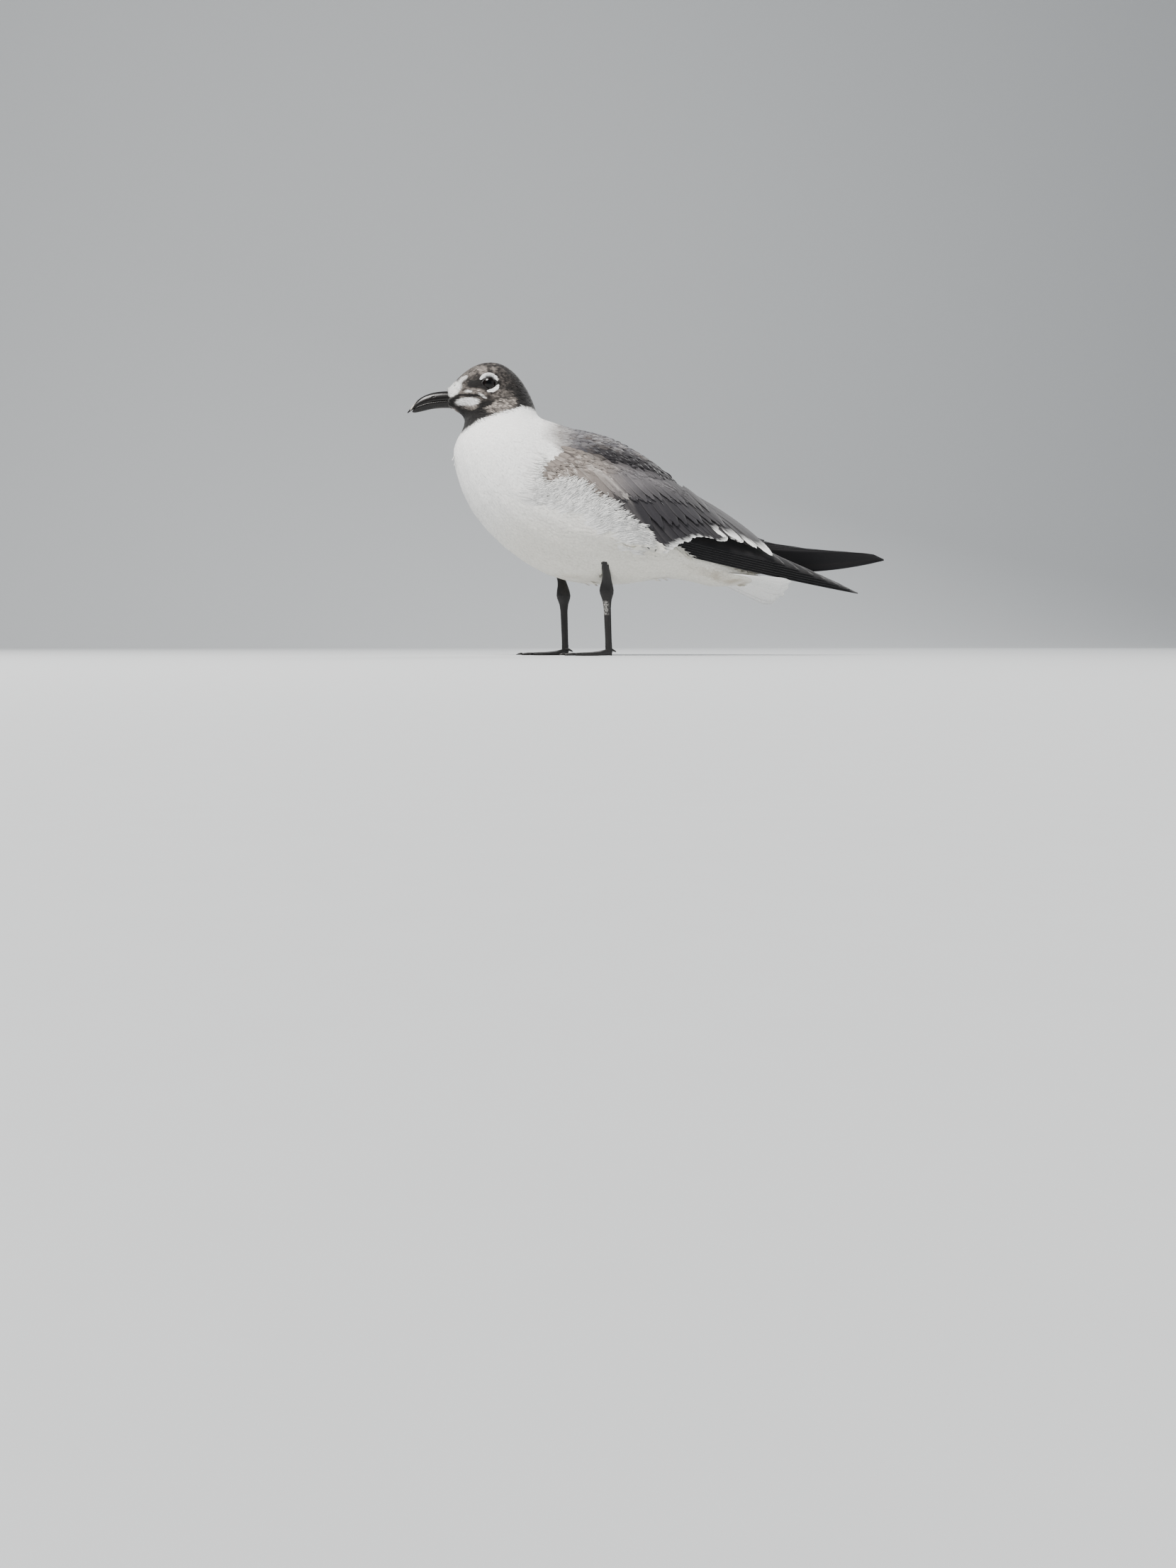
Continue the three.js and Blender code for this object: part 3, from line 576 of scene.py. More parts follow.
def letIn(surface, names):
    # How deep the skin lies under the coat at each point, never past the middle of a thin part.
    head = headShare(surface.points)
    depth = np.array([coatDepths[name] for name in names.tolist()])
    depth = depth + (coatDepths["head"] - depth) * head
    for i, (point, normal) in enumerate(zip(surface.points.tolist(), surface.normals.tolist())):
        start = Vector(point) - Vector(normal) * 0.05
        hit = surface.tree.ray_cast(start, -Vector(normal), 14.0)[3]
        if hit is not None:
            depth[i] = min(depth[i], 0.38 * hit)
    return depth


skinDepth = letIn(outer, ownerNames)
skinPoints = outer.points - outer.normals * skinDepth[:, None]
rearShare = step(36, 80, outer.points[:, 0]) * (ownerNames == "wing")
# the wing's hand ends well under its long feathers
skinPoints += rearShare[:, None] * np.array([-7.0, 0, 4.0])


def colourAttribute(mesh, name, colours):
    attribute = mesh.attributes.new(name, "FLOAT_COLOR", "POINT")
    packed = np.ones((len(colours), 4))
    packed[:, :3] = np.clip(colours, 0, 1)
    attribute.data.foreach_set("color", packed.ravel().astype(np.float32))


def vectorAttribute(mesh, name, vectors):
    attribute = mesh.attributes.new(name, "FLOAT_VECTOR", "POINT")
    attribute.data.foreach_set("vector", np.asarray(vectors, np.float32).ravel())


skinSettings = {"mapAngle": 60, "mapMargin": 0.004, "smoothing": 0.5, "passes": 4, "shade": 0.85}


def plumageAt(points, names):  # the colour at each point of the coat, given the part of it that each lies on
    colours = markings(points)
    onWing = names == "wing"
    if onWing.any():
        colours[onWing] = wingShade(points[onWing])
    return colours


def buildSkin(settings):
    form.name = form.data.name = "skin"
    placeVertices(form.data, skinPoints)
    form.data.update()
    applyModifier(form, "SMOOTH", factor=settings["smoothing"], iterations=settings["passes"])
    with editing(form):
        bpy.ops.mesh.quads_convert_to_tris()
        form.data.uv_layers.new(name="OFBake")
        bpy.ops.uv.smart_project(
            angle_limit=math.radians(settings["mapAngle"]), island_margin=settings["mapMargin"])
    bpy.ops.object.shade_smooth()
    form.data.materials.clear()
    form.data.materials.append(plumage)
    # painted shade: the skin takes the coat's colours, darkened by the shade setting as shade in the gaps between
    # the feathers
    colourAttribute(form.data, "plumage", plumageAt(outer.points, ownerNames) * settings["shade"])
    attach(form, "root")
    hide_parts(*bodyNodes, *scapularNodes, *wingNodes)
    return Surface(form)


skin = buildSkin(skinSettings)
skinMap = np.zeros(len(form.data.loops) * 2)
form.data.uv_layers["OFBake"].data.foreach_get("uv", skinMap)
skinMap = skinMap.reshape(-1, 3, 2)
skinFaces = np.zeros(len(form.data.polygons) * 3, int)
form.data.polygons.foreach_get("vertices", skinFaces)
skin.triangles = skinFaces.reshape(-1, 3)
skin.tree = BVHTree.FromPolygons(skin.points.tolist(), skin.triangles.tolist())
print("skin:", len(skin.points), "points")


def mapPlace(points):  # where each point's root lies on the skin's own unwrap
    _, _, faces = skin.nearest(points)
    corners = skin.points[skin.triangles[faces]]
    edges = corners[:, 1:] - corners[:, :1]
    gram = np.einsum("nij,nkj->nik", edges, edges) + np.eye(2) * 1e-9
    offsets = np.einsum("nij,nj->ni", edges, points - corners[:, 0])
    weights = np.linalg.solve(gram, offsets[:, :, None])[:, :, 0]
    weights = np.clip(np.concatenate([1 - weights.sum(axis=1, keepdims=True), weights], axis=1), 0, 1)
    weights /= weights.sum(axis=1, keepdims=True)
    return np.einsum("ni,nij->nj", weights, skinMap[faces])


# ---- scattering roots and drawing feathers


def crowded(grid, middle, place, reach, limit):  # whether a point kept in the cells around is too near
    steps = range(-reach, reach + 1)
    for dx, dy, dz in product(steps, steps, steps):
        for x, y, z in grid.get((middle[0] + dx, middle[1] + dy, middle[2] + dz), ()):
            if (place[0] - x) ** 2 + (place[1] - y) ** 2 + (place[2] - z) ** 2 < limit:
                return True
    return False


def scatter(surface, spacingAt, wanted, tries=9):  # evenly random points, no nearer than spacingAt
    corners = surface.points[surface.triangles]
    areas = np.linalg.norm(np.cross(corners[:, 1] - corners[:, 0], corners[:, 2] - corners[:, 0]), axis=1) / 2
    centres = corners.mean(axis=1)
    spacing = spacingAt(centres)
    density = np.where(wanted(centres), areas / spacing ** 2, 0)
    picks = chance.choice(len(density), size=int(density.sum() * tries), p=density / density.sum())
    a, b = np.sqrt(chance.random(len(picks))), chance.random(len(picks))
    weights = np.stack([1 - a, a * (1 - b), a * b], axis=1)
    points = np.einsum("ni,nij->nj", weights, corners[picks])
    gaps = spacing[picks]
    cell = spacing[density > 0].min()
    grid, kept = {}, []
    for i, (place, gap) in enumerate(zip(points.tolist(), gaps.tolist())):
        middle = tuple(math.floor(part / cell) for part in place)
        if not crowded(grid, middle, place, math.ceil(gap / cell), gap ** 2):
            grid.setdefault(middle, []).append(place)
            kept.append(i)
    return points[kept]


# A vane's form: its share of the width at the root, where it is widest, its share at the tip, the tip's curve
# and teeth, the curve across, how fast the root sinks in, and the shaft's height in mm.
formKeys = ("base", "widest", "tip", "round", "ragged", "camber", "sink", "shaft")


def vaneForm(*values):
    return dict(zip(formKeys, values))


featherForm = vaneForm(0.45, 0.55, 0.5, 0.20, 0.22, 0.06, 2.4, 0)
coverletForm = vaneForm(0.5, 0.5, 0.35, 0.14, 0.26, 0.08, 2.0, 0)
hairForm = vaneForm(0.6, 0.4, 0.12, 0.10, 0.2, 0.08, 1.8, 0)


def walk(surface, roots, lies, lengths, rows, curl=None):
    # Each feather's line along a surface, and the way up from it. A curl turns it to its side on the way.
    spine = np.zeros((len(roots), rows, 3))
    up = np.zeros((len(roots), rows, 3))
    place, normal, _ = surface.nearest(roots)
    heading = unit(lies - normal * np.einsum("ij,ij->i", lies, normal)[:, None])
    for row in range(rows):
        spine[:, row], up[:, row] = place, normal
        ahead = place + heading * (lengths / (rows - 1))[:, None]
        found, foundNormal, _ = surface.nearest(ahead)
        fallen = np.linalg.norm(ahead - found, axis=1) > 0.28 * lengths / (rows - 1)
        # past an edge it goes straight on
        free = ((np.einsum("ij,ij->i", foundNormal, normal) < 0.72) | fallen)[:, None]
        nextPlace = np.where(free, ahead, found)
        nextNormal = np.where(free, normal, foundNormal)
        heading = unit(0.5 * unit(nextPlace - place) + 0.5 * heading)
        if curl is not None:
            heading = unit(heading + np.cross(nextNormal, heading) * (curl / (rows - 1))[:, None])
        heading = unit(heading - nextNormal * np.einsum("ij,ij->i", heading, nextNormal)[:, None])
        place, normal = nextPlace, unit(0.5 * normal + 0.5 * nextNormal)
    return spine, up


def vanes(spine, up, widths, depths, lifts, columns, form, roll=0.0):
    # A vane on each line: narrow at the root, widest part way along, with a rounded and slightly frayed tip.
    count, rows = spine.shape[:2]
    lengths = np.linalg.norm(np.diff(spine, axis=1), axis=2).sum(axis=1)
    along = np.linspace(0, 1, rows)[None, :, None]
    across = np.linspace(-1, 1, columns)[None, None, :]
    teeth = 0.5 * (np.arange(columns) % 2)[None, None, :] + 0.5 * chance.random((count, 1, columns))
    reach = along * (1 - form["round"] * across ** 2 * along - form["ragged"] * teeth * along ** 3)
    index = np.clip(reach * (rows - 1), 0, rows - 1.0001)
    low = np.floor(index).astype(int)
    share = (index - low)[..., None]
    who = np.arange(count)[:, None, None]
    line = spine[who, low] * (1 - share) + spine[who, low + 1] * share
    rise = unit(up[who, low] * (1 - share) + up[who, low + 1] * share)
    tangent = unit(spine[who, low + 1] - spine[who, low] + 1e-9)
    sideways = unit(np.cross(rise, tangent))
    swell = np.where(along < form["widest"],
                     form["base"] + (1 - form["base"]) * (1 - (1 - along / form["widest"]) ** 2),
                     1 - (1 - form["tip"]) * ((along - form["widest"]) / (1 - form["widest"])) ** 2)
    half = widths[:, None, None] / 2 * swell
    height = -depths[:, None, None] * (1 - along) ** form["sink"] + lifts[:, None, None] * along ** 2
    height = height - form["camber"] * widths[:, None, None] * across ** 2 * along + roll * across * along
    ridge = np.clip(1 - np.abs(across) * (columns - 1) / 2, 0, 1)
    height = height + form["shaft"] * ridge * (1 - along)
    points = line + sideways * (half * across)[..., None] + rise * height[..., None]
    marks = np.broadcast_arrays(half * across, lengths[:, None, None] * reach, (who * 7.31) % 97.0)
    vane = np.stack(marks, axis=3)
    return points, vane, np.broadcast_to(reach, points.shape[:3])


def drawFeathers(roots, lies, lengths, widths, depths, lifts, rows, columns, form, raised=0.0, curl=None):
    # Each feather starts under the coat, runs along it the way it lies, and comes up to its face at the tip.
    spine, up = walk(outer, roots, lies, lengths, rows, curl)
    return (*vanes(spine + up * raised, up, widths, depths, lifts, columns, form), spine)


def featherMesh(name, bundles, finish=plumage):
    # bundles: (points, vane, reach, colours per point, map places); joined as one mesh of quads
    points, faces, vanes, colours, maps = [], [], [], [], []
    start = 0
    for grid, vane, reach, colour, place in bundles:
        count, rows, columns = grid.shape[:3]
        index = np.arange(count * rows * columns).reshape(count, rows, columns) + start
        corners = [index[:, :-1, :-1], index[:, 1:, :-1], index[:, 1:, 1:], index[:, :-1, 1:]]
        quads = np.stack(corners, axis=-1)
        across = np.linspace(-0.5, 0.5, columns)[None, None, :, None] * [1, 0]
        spread = (across + (reach[..., None] - 0.5) * [0, 1]) * 0.003
        points.append(grid.reshape(-1, 3))
        faces.append(quads.reshape(-1, 4))
        vanes.append(vane.reshape(-1, 3))
        colours.append(colour.reshape(-1, 3))
        maps.append((place if place.ndim == 4 else place[:, None, None, :] + spread).reshape(-1, 2))
        start += count * rows * columns
    points, faces = np.concatenate(points), np.concatenate(faces)
    mesh = bpy.data.meshes.new(name)
    mesh.vertices.add(len(points))
    placeVertices(mesh, points)
    mesh.loops.add(len(faces) * 4)
    mesh.loops.foreach_set("vertex_index", faces.ravel().astype(np.int32))
    mesh.polygons.add(len(faces))
    mesh.polygons.foreach_set("loop_start", np.arange(len(faces), dtype=np.int32) * 4)
    mesh.update(calc_edges=True)
    mesh.polygons.foreach_set("use_smooth", np.ones(len(faces), bool))
    colourAttribute(mesh, "plumage", np.concatenate(colours))
    vectorAttribute(mesh, "vane", np.concatenate(vanes))
    layer = mesh.uv_layers.new(name="OFBake")
    layer.data.foreach_set("uv", np.concatenate(maps)[faces.ravel()].ravel().astype(np.float32))
    mesh.materials.append(finish)
    piece = bpy.data.objects.new(name, mesh)
    bpy.context.scene.collection.objects.link(piece)
    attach(piece, "root")
    print(name + ":", 2 * len(faces), "triangles")
    return piece


def lieVectors(points, spread, entries):  # the lie as a direction in space, with a little disorder
    directions, lengths, widths = lieAt(points, entries)
    turn = np.radians(chance.normal(0, spread, len(points)))
    tilted = directions.copy()
    tilted[:, 0] = directions[:, 0] * np.cos(turn) - directions[:, 2] * np.sin(turn)
    tilted[:, 2] = directions[:, 0] * np.sin(turn) + directions[:, 2] * np.cos(turn)
    tilted[:, 1] = chance.normal(0, 0.06, len(points))
    return tilted, lengths, widths


def ownerAt(points):  # the part of the coat that each point belongs to
    _, _, faces = outer.nearest(points)
    return ownerNames[outer.triangles[faces][:, 0]]


def tintFeathers(spine, reach, settings, owner):
    # Soft white coats change colour along each feather; darker ones take one shade each. All have streaks.
    count, rows, columns = reach.shape
    if settings["blend"]:
        base = plumageAt(spine.reshape(-1, 3), np.full(count * rows, owner)).reshape(count, rows, 1, 3)
    else:
        base = plumageAt(spine[:, rows // 2], np.full(count, owner)).reshape(count, 1, 1, 3)
    jitter = np.exp(chance.normal(0, settings["jitter"], (count, 1, 1, 1)))
    streak = np.exp(chance.normal(0, settings["streak"], (count, 1, columns, 1)))
    return np.clip(base * jitter * streak * np.ones((count, rows, columns, 1)), 0, 0.96)


def nearLegs(points):  # share of a feather's length that it keeps where the shins come out
    share = np.ones(len(points))
    for x, y in legPockets.values():
        gap = np.hypot(points[:, 0] - x, points[:, 1] - y) + 100 * (points[:, 2] > 105)
        share = np.minimum(share, np.clip(gap / 16, 0.3, 1))
    return np.minimum(share, np.clip((besideShins(points) - 2.0) / 12, 0.35, 1))


def clearOfShins(roots, lies, lengths):  # each feather's length, cut so that its tip stays short of a shin
    free = np.ones(len(roots))
    for share in np.linspace(1, 0.15, 12):
        ends = roots + lies * (lengths * share)[:, None]
        free = np.where(besideShins(ends) < 3.3, share * 0.9, free)
    return lengths * free


def coatOf(name, wanted, settings, owner="body"):
    entries = settings["lies"]

    def spacingAt(points):
        _, lengths, widths = lieAt(points, entries)
        return settings["spacing"] * np.sqrt(widths * lengths * 0.42) * nearLegs(points) ** 0.8

    roots = scatter(outer, spacingAt, wanted)
    lies, lengths, widths = lieVectors(roots, settings["disorder"], entries)
    lengths = lengths * chance.uniform(0.85, 1.15, len(roots)) * nearLegs(roots) * settings["long"]
    widths = widths * nearLegs(roots) ** 0.6
    facing = outer.nearest(roots)[1][:, 1] * np.sign(roots[:, 1])
    tucked = (facing < -0.05) & (roots[:, 2] > 90)  # narrow on the walls of the furrow between the shoulders
    lengths, widths = lengths * np.where(tucked, 0.6, 1), widths * np.where(tucked, 0.45, 1)
    lengths = clearOfShins(roots, lies, lengths)
    depths = np.minimum(settings["depth"] * lengths, 3.0)
    lifts = settings["lift"] * chance.uniform(0, 1, len(roots)) * widths
    widths = widths * settings["slim"]
    aboveFlank = roots[:, 2] - flankEdge(roots[:, 0], right=60)
    raised = settings["raised"] * (0.1 + 0.9 * step(1, 18, aboveFlank))[:, None, None]
    grid, vane, reach, spine = drawFeathers(
        roots, lies, lengths, widths, depths, lifts, settings["rows"], settings["columns"], settings["form"],
        raised)
    colours = tintFeathers(spine, reach, settings, owner)
    close = np.ones(len(roots), bool)
    strays = settings["stray"] * np.where(besideShins(roots) < 9, 0.3, 1)
    for row in range(1, settings["rows"]):  # one that has left the coat, or lies over a shin, isn't kept
        close &= (outer.distances(spine[:, row]) < strays) & (besideShins(spine[:, row]) > 2.3)
    bundle = (grid[close], vane[close], reach[close], colours[close], mapPlace(roots[close]))
    return featherMesh(name, [bundle])


def onHead(points):
    return headShare(points) > 0.5


headCoat = {
    "lies": lieOfCoat, "spacing": 0.46, "depth": 0.16, "lift": 0.08, "disorder": 9,
    "jitter": 0.30, "streak": 0.12, "stray": 2.4, "slim": 0.62, "long": 1.25, "form": hairForm,
    "rows": 4, "columns": 3, "raised": 0.0, "blend": False,
}
bodyCoat = {
    "lies": lieOfCoat, "spacing": 0.36, "depth": 0.07, "lift": 0.006, "disorder": 5,
    "jitter": 0.006, "streak": 0.006, "stray": 2.4, "slim": 1.0, "long": 1.0, "form": featherForm,
    "rows": 5, "columns": 7, "raised": 0.0, "blend": True,
}
mantleCoat = {
    "lies": lieOfCoat, "spacing": 0.36, "depth": 0.09, "lift": 0.02, "disorder": 7,
    "jitter": 0.08, "streak": 0.08, "stray": 0.9, "slim": 0.85, "long": 1.0, "form": coverletForm,
    "rows": 6, "columns": 7, "raised": 0.0, "blend": False,
}
covertCoat = {
    "lies": lieOfCoverts, "spacing": 0.40, "depth": 0.10, "lift": 0.05, "disorder": 8,
    "jitter": 0.14, "streak": 0.12, "stray": 2.4, "slim": 0.9, "long": 1.05, "form": coverletForm,
    "rows": 6, "columns": 7, "raised": 1.5, "blend": False,
}
covertLine = {"x": [-70, -45, -20, 0, 30, 55, 70, 74], "z": [90, 100, 122, 131, 134, 131, 131, 300]}


def awayFromEye(points):  # and from the bill's base
    chin = (points[:, 0] < -121) & (points[:, 2] < 203)
    fromEye = np.hypot((points[:, 0] - eyeCentre[0]) / 4.9, (points[:, 2] - eyeCentre[1]) / 4.2)
    return ~chin & (points[:, 0] > -127.4) & (fromEye > 1)


def underWings(points, normals):  # roots that the folded wings hide
    hidden = np.zeros(len(points), bool)
    tree = ownerForms["wing"].tree
    for i in np.flatnonzero((points[:, 0] > 26) & (normals[:, 2] < 0.6)):
        outwards = Vector((0, -1 if points[i, 1] < 0 else 1, 0))
        hidden[i] = tree.ray_cast(Vector(points[i]) + outwards * 0.5, outwards, 40)[0] is not None
    return hidden


def onBody(points, fromX, toX):
    _, normals, _ = outer.nearest(points)
    inRange = (points[:, 0] >= fromX) & (points[:, 0] < toX)
    behind = (normals[:, 0] > 0.6) & (points[:, 0] > 105)  # the blunt end over the tail stays bare
    kept = (ownerAt(points) == "body") & ~onHead(points) & inRange & ~behind & (besideShins(points) > 3.0)
    if toX > 26:
        lies, lengths, _ = lieAt(points)
        ends = points + lies * lengths[:, None]
        nearWing = np.minimum(ownerForms["wing"].distances(points), ownerForms["wing"].distances(ends))
        kept &= ~((nearWing < 2.5) & (points[:, 0] > 38) & (normals[:, 2] < 0.6))
        kept &= ~underWings(points, normals)
    return kept


def onCoverts(points):
    above = points[:, 2] > np.interp(points[:, 0], covertLine["x"], covertLine["z"])
    return (ownerAt(points) == "wing") & above


coatOf("hoodCoat", lambda p: onHead(p) & awayFromEye(p), headCoat)
bodyCoats = {
    "throatCoat": (-200, -84), "breastCoat": (-84, -50), "bellyCoat": (-50, 40), "ventCoat": (40, 122),
}
for coatName, (fromX, toX) in bodyCoats.items():
    coatOf(coatName, lambda p: onBody(p, fromX, toX), bodyCoat)
# A few loose feathers stand off the breast and the belly: x, side, z, lie, length, width and how far the tip
# stands out.
looseFeathers = np.array([
    (-119, -3, 166, -72, 8, 3.2, 2.2), (-119, -5, 161, -80, 7, 2.6, 1.8), (-16, -8, 61, -2, 15, 6, 2.6),
    (-4, -4, 60, 2, 13, 5, 2.2), (38, -8, 61, -4, 13, 5, 2.4), (46, -5, 61, -9, 12, 5, 2.0),
    (-20, 9, 61, -3, 14, 6, 2.0), (40, 9, 61, -6, 12, 5, 2.0),
])


def looseCoat(table):
    turn = np.radians(table[:, 3])
    lies = np.stack([np.cos(turn), 0 * turn, np.sin(turn)], axis=1)
    depths = np.full(len(table), 1.2)
    grid, vane, reach, spine = drawFeathers(
        table[:, :3], lies, table[:, 4], table[:, 5], depths, table[:, 6], 7, 7, featherForm)
    colours = tintFeathers(spine, reach, bodyCoat, "body")
    bundle = (grid, vane, reach, colours, mapPlace(table[:, :3]))
    return featherMesh("looseFeathers", [bundle])


looseCoat(looseFeathers)
coatOf("mantleCoat", lambda p: ownerAt(p) == "mantle", mantleCoat, "mantle")
coatOf("covertCoat", onCoverts, covertCoat, "wing")

# Long scapulars of both sides meet over the furrow of the back: a sheet of them along its middle line.
backSettings = {
    "x": [-20, 0, 20, 40, 60, 75, 90], "z": [181, 177.6, 169.6, 158.2, 144.8, 131, 115],
    "first": -10, "last": 62, "step": 4.2, "length": 21, "half": 7.0, "width": 9.5, "across": 5,
    "rows": 8, "columns": 7, "dome": 0.012, "tipLift": 0.6, "depth": 2.2, "lift": 0.2,
}


def backFeathers(settings):
    starts = np.repeat(np.arange(settings["first"], settings["last"], settings["step"]), settings["across"])
    count = len(starts)
    asides = np.tile(np.linspace(-1, 1, settings["across"]), count // settings["across"]) * settings["half"]
    asides = asides + chance.normal(0, 0.7, count)
    starts = starts + chance.normal(0, 1.0, count)
    s = np.linspace(0, 1, settings["rows"])[None, :]
    x = starts[:, None] + settings["length"] * 0.85 * s
    y = asides[:, None] * (1 + 0.15 * s)
    height, ahead, behind = (np.interp(x + shift, settings["x"], settings["z"]) for shift in (0, 2, -2))
    points = np.stack([x, y, height - settings["dome"] * y ** 2 + settings["tipLift"] * s], axis=-1)
    up = unit(np.stack([(behind - ahead) / 4, 2 * settings["dome"] * y, 1 + 0 * x], axis=-1))
    widths = settings["width"] * chance.uniform(0.85, 1.1, count)
    depths, lifts = np.full(count, settings["depth"]), np.full(count, settings["lift"])
    grid, vane, reach = vanes(points, up, widths, depths, lifts, settings["columns"], coverletForm)
    colours = tintFeathers(points, reach, mantleCoat, "mantle")
    bundle = (grid, vane, reach, colours, mapPlace(points[:, 0]))
    return featherMesh("backFeathers", [bundle])


backFeathers(backSettings)

# ---- the folded wings: coverts, secondaries and tertials laid on the outer face of each wing

sheetSettings = {
    "order": 4, "xScale": 80.0, "zMiddle": 120.0, "zScale": 40.0,
    "x": (-70, 142), "z": (74, 172), "step": 4.0, "least": 1.5,
}


def sheetTerms(x, z, settings):
    u, v = x / settings["xScale"], (z - settings["zMiddle"]) / settings["zScale"]
    order = settings["order"]
    return np.stack([u ** i * v ** j for i in range(order + 1) for j in range(order + 1 - i)], axis=-1)


def fitSheet(settings):
    # How far out the wing's face stands, as a smooth function of x and z that runs on past the wing's edges.
    face = ownerForms["wing"]
    places, depths = [], []
    for x, z in product(*(np.arange(*settings[axis], settings["step"]) for axis in ("x", "z"))):
        hit = face.tree.ray_cast(Vector((x, -100, z)), Vector((0, 1, 0)), 99.0)[0]
        if hit is not None:
            places.append((x, z))
            depths.append(-hit.y)
    places = np.array(places)
    terms = sheetTerms(places[:, 0], places[:, 1], settings)
    return np.linalg.lstsq(terms, np.array(depths), rcond=None)[0]


sheetShape = fitSheet(sheetSettings)


def onSheet(x, z, side):  # points on the wing's face and the way out from it; side is -1 on the left
    def out(a, b):
        return np.maximum(sheetTerms(a, b, sheetSettings) @ sheetShape, sheetSettings["least"])

    depth = out(x, z)
    slopeX, slopeZ = (out(x + 1, z) - out(x - 1, z)) / 2, (out(x, z + 1) - out(x, z - 1)) / 2
    points = np.stack([x, side * depth, z], axis=-1)
    return points, unit(np.stack([-slopeX, side * np.ones_like(depth), -slopeZ], axis=-1))


def alongLine(line, t):  # a point at share t of a line's length
    line = np.array(line, float)
    lengths = np.concatenate([[0], np.cumsum(np.linalg.norm(np.diff(line, axis=0), axis=1))])
    return np.stack([np.interp(t * lengths[-1], lengths, line[:, axis]) for axis in (0, 1)], axis=-1)


coverForm = vaneForm(0.5, 0.6, 0.55, 0.16, 0.05, 0.05, 1.5, 0.12)
quillForm = vaneForm(0.6, 0.6, 0.68, 0.09, 0.022, 0.03, 1.5, 0.3)

# Rows of wing feathers from the lowest layer up. Roots and tips lie on lines (x, z); height is the layer's.
wingRows = [
    {"name": "secondaries", "count": 16, "roots": [(-4, 122), (40, 122), (92, 114)],
     "tips": [(30, 92), (38, 85), (48, 83), (58, 90), (72, 95), (86, 96.5), (102, 92.5), (118, 93)],
     "width": 14, "height": -0.5, "roll": 0.5, "bend": 0.04, "form": quillForm, "rows": 15, "whiteTip": 0.95},
    {"name": "tertials", "count": 6, "roots": [(44, 138), (66, 136), (84, 126)],
     "tips": [(96, 98), (112, 94), (128, 88), (138, 84), (145, 79.5)],
     "width": 15, "height": 0.3, "roll": 0.6, "bend": 0.06, "form": quillForm, "rows": 15, "whiteTip": 0.88},
    {"name": "greaterCoverts", "count": 13, "roots": [(-22, 143), (20, 142), (80, 128)],
     "tips": [(14, 108), (30, 101), (60, 104), (84, 108), (104, 104)],
     "width": 12, "height": 0.9, "roll": 0.5, "bend": 0.05, "form": coverForm, "rows": 12, "whiteTip": None},
    {"name": "medianCoverts", "count": 14, "roots": [(-36, 152), (10, 151), (68, 138)],
     "tips": [(-8, 126), (30, 124), (60, 121), (90, 114)],
     "width": 10, "height": 1.4, "roll": 0.5, "bend": 0.05, "form": coverForm, "rows": 10, "whiteTip": None},
]
wingSettings = {"columns": 9, "depth": 0.8, "lift": 0.1, "lap": 0.8, "unlike": 0.09, "streak": 0.08, "pale": 0.26}
wingSides = {"left": -1, "right": 1}


def wingFeathers(side, settings):
    columns = settings["columns"]
    bundles = []
    for row in wingRows:
        t = (np.arange(row["count"]) + 0.5) / row["count"] + chance.normal(0, 0.008, row["count"])
        first, last = alongLine(row["roots"], t), alongLine(row["tips"], t)
        first += chance.normal(0, 0.5, first.shape)
        last += chance.normal(0, 0.9, last.shape)
        s = np.linspace(0, 1, row["rows"])[None, :, None]
        run = last - first
        lengths = np.linalg.norm(run, axis=1)
        bend = np.stack([-run[:, 1], run[:, 0]], axis=1) * row["bend"]
        line = first[:, None] + run[:, None] * s + bend[:, None] * 4 * s * (1 - s)
        order = np.linspace(0, settings["lap"], row["count"])[:, None, None]
        place, out = onSheet(line[..., 0], line[..., 1], side)
        spine = place + out * (row["height"] + order)
        widths = row["width"] * chance.uniform(0.9, 1.1, row["count"])
        flat = np.zeros(row["count"])
        grid, vane, reach = vanes(
            spine, out, widths, flat + settings["depth"], flat + settings["lift"], columns, row["form"],
            side * row["roll"])
        middles = spine[:, row["rows"] // 2]
        ends = grid.reshape(-1, 3)
        byPlace = wingShade(ends).reshape(grid.shape)
        byFeather = wingShade(middles)[:, None, None, :]
        colours = 0.65 * byPlace + 0.35 * byFeather
        colours = colours * np.exp(chance.normal(0, settings["unlike"], (row["count"], 1, 1, 1)))
        colours = colours * np.exp(chance.normal(0, settings["streak"], (row["count"], 1, columns, 1)))
        across = np.abs(np.linspace(-1, 1, columns))[None, None, :]
        inFront = 0.2 + 0.8 * step(45, -5, middles[:, 0])
        edged = inFront * chance.uniform(0.1, 1, row["count"])
        pale = step(0.6, 1.0, across) * settings["pale"] * edged[:, None, None]
        colours = mix(colours, ("covertPale", pale * np.ones_like(reach)))
        if row["whiteTip"]:
            white = step(row["whiteTip"] - 0.05, row["whiteTip"], reach + 0.04 * across)
            colours = mix(colours, ("white", white))
        bundles.append((grid, vane, reach, colours, mapPlace(spine[:, 1])))
    return bundles


for sideName, side in wingSides.items():
    featherMesh("wingFeathers_" + sideName, wingFeathers(side, wingSettings))

# ---- primaries

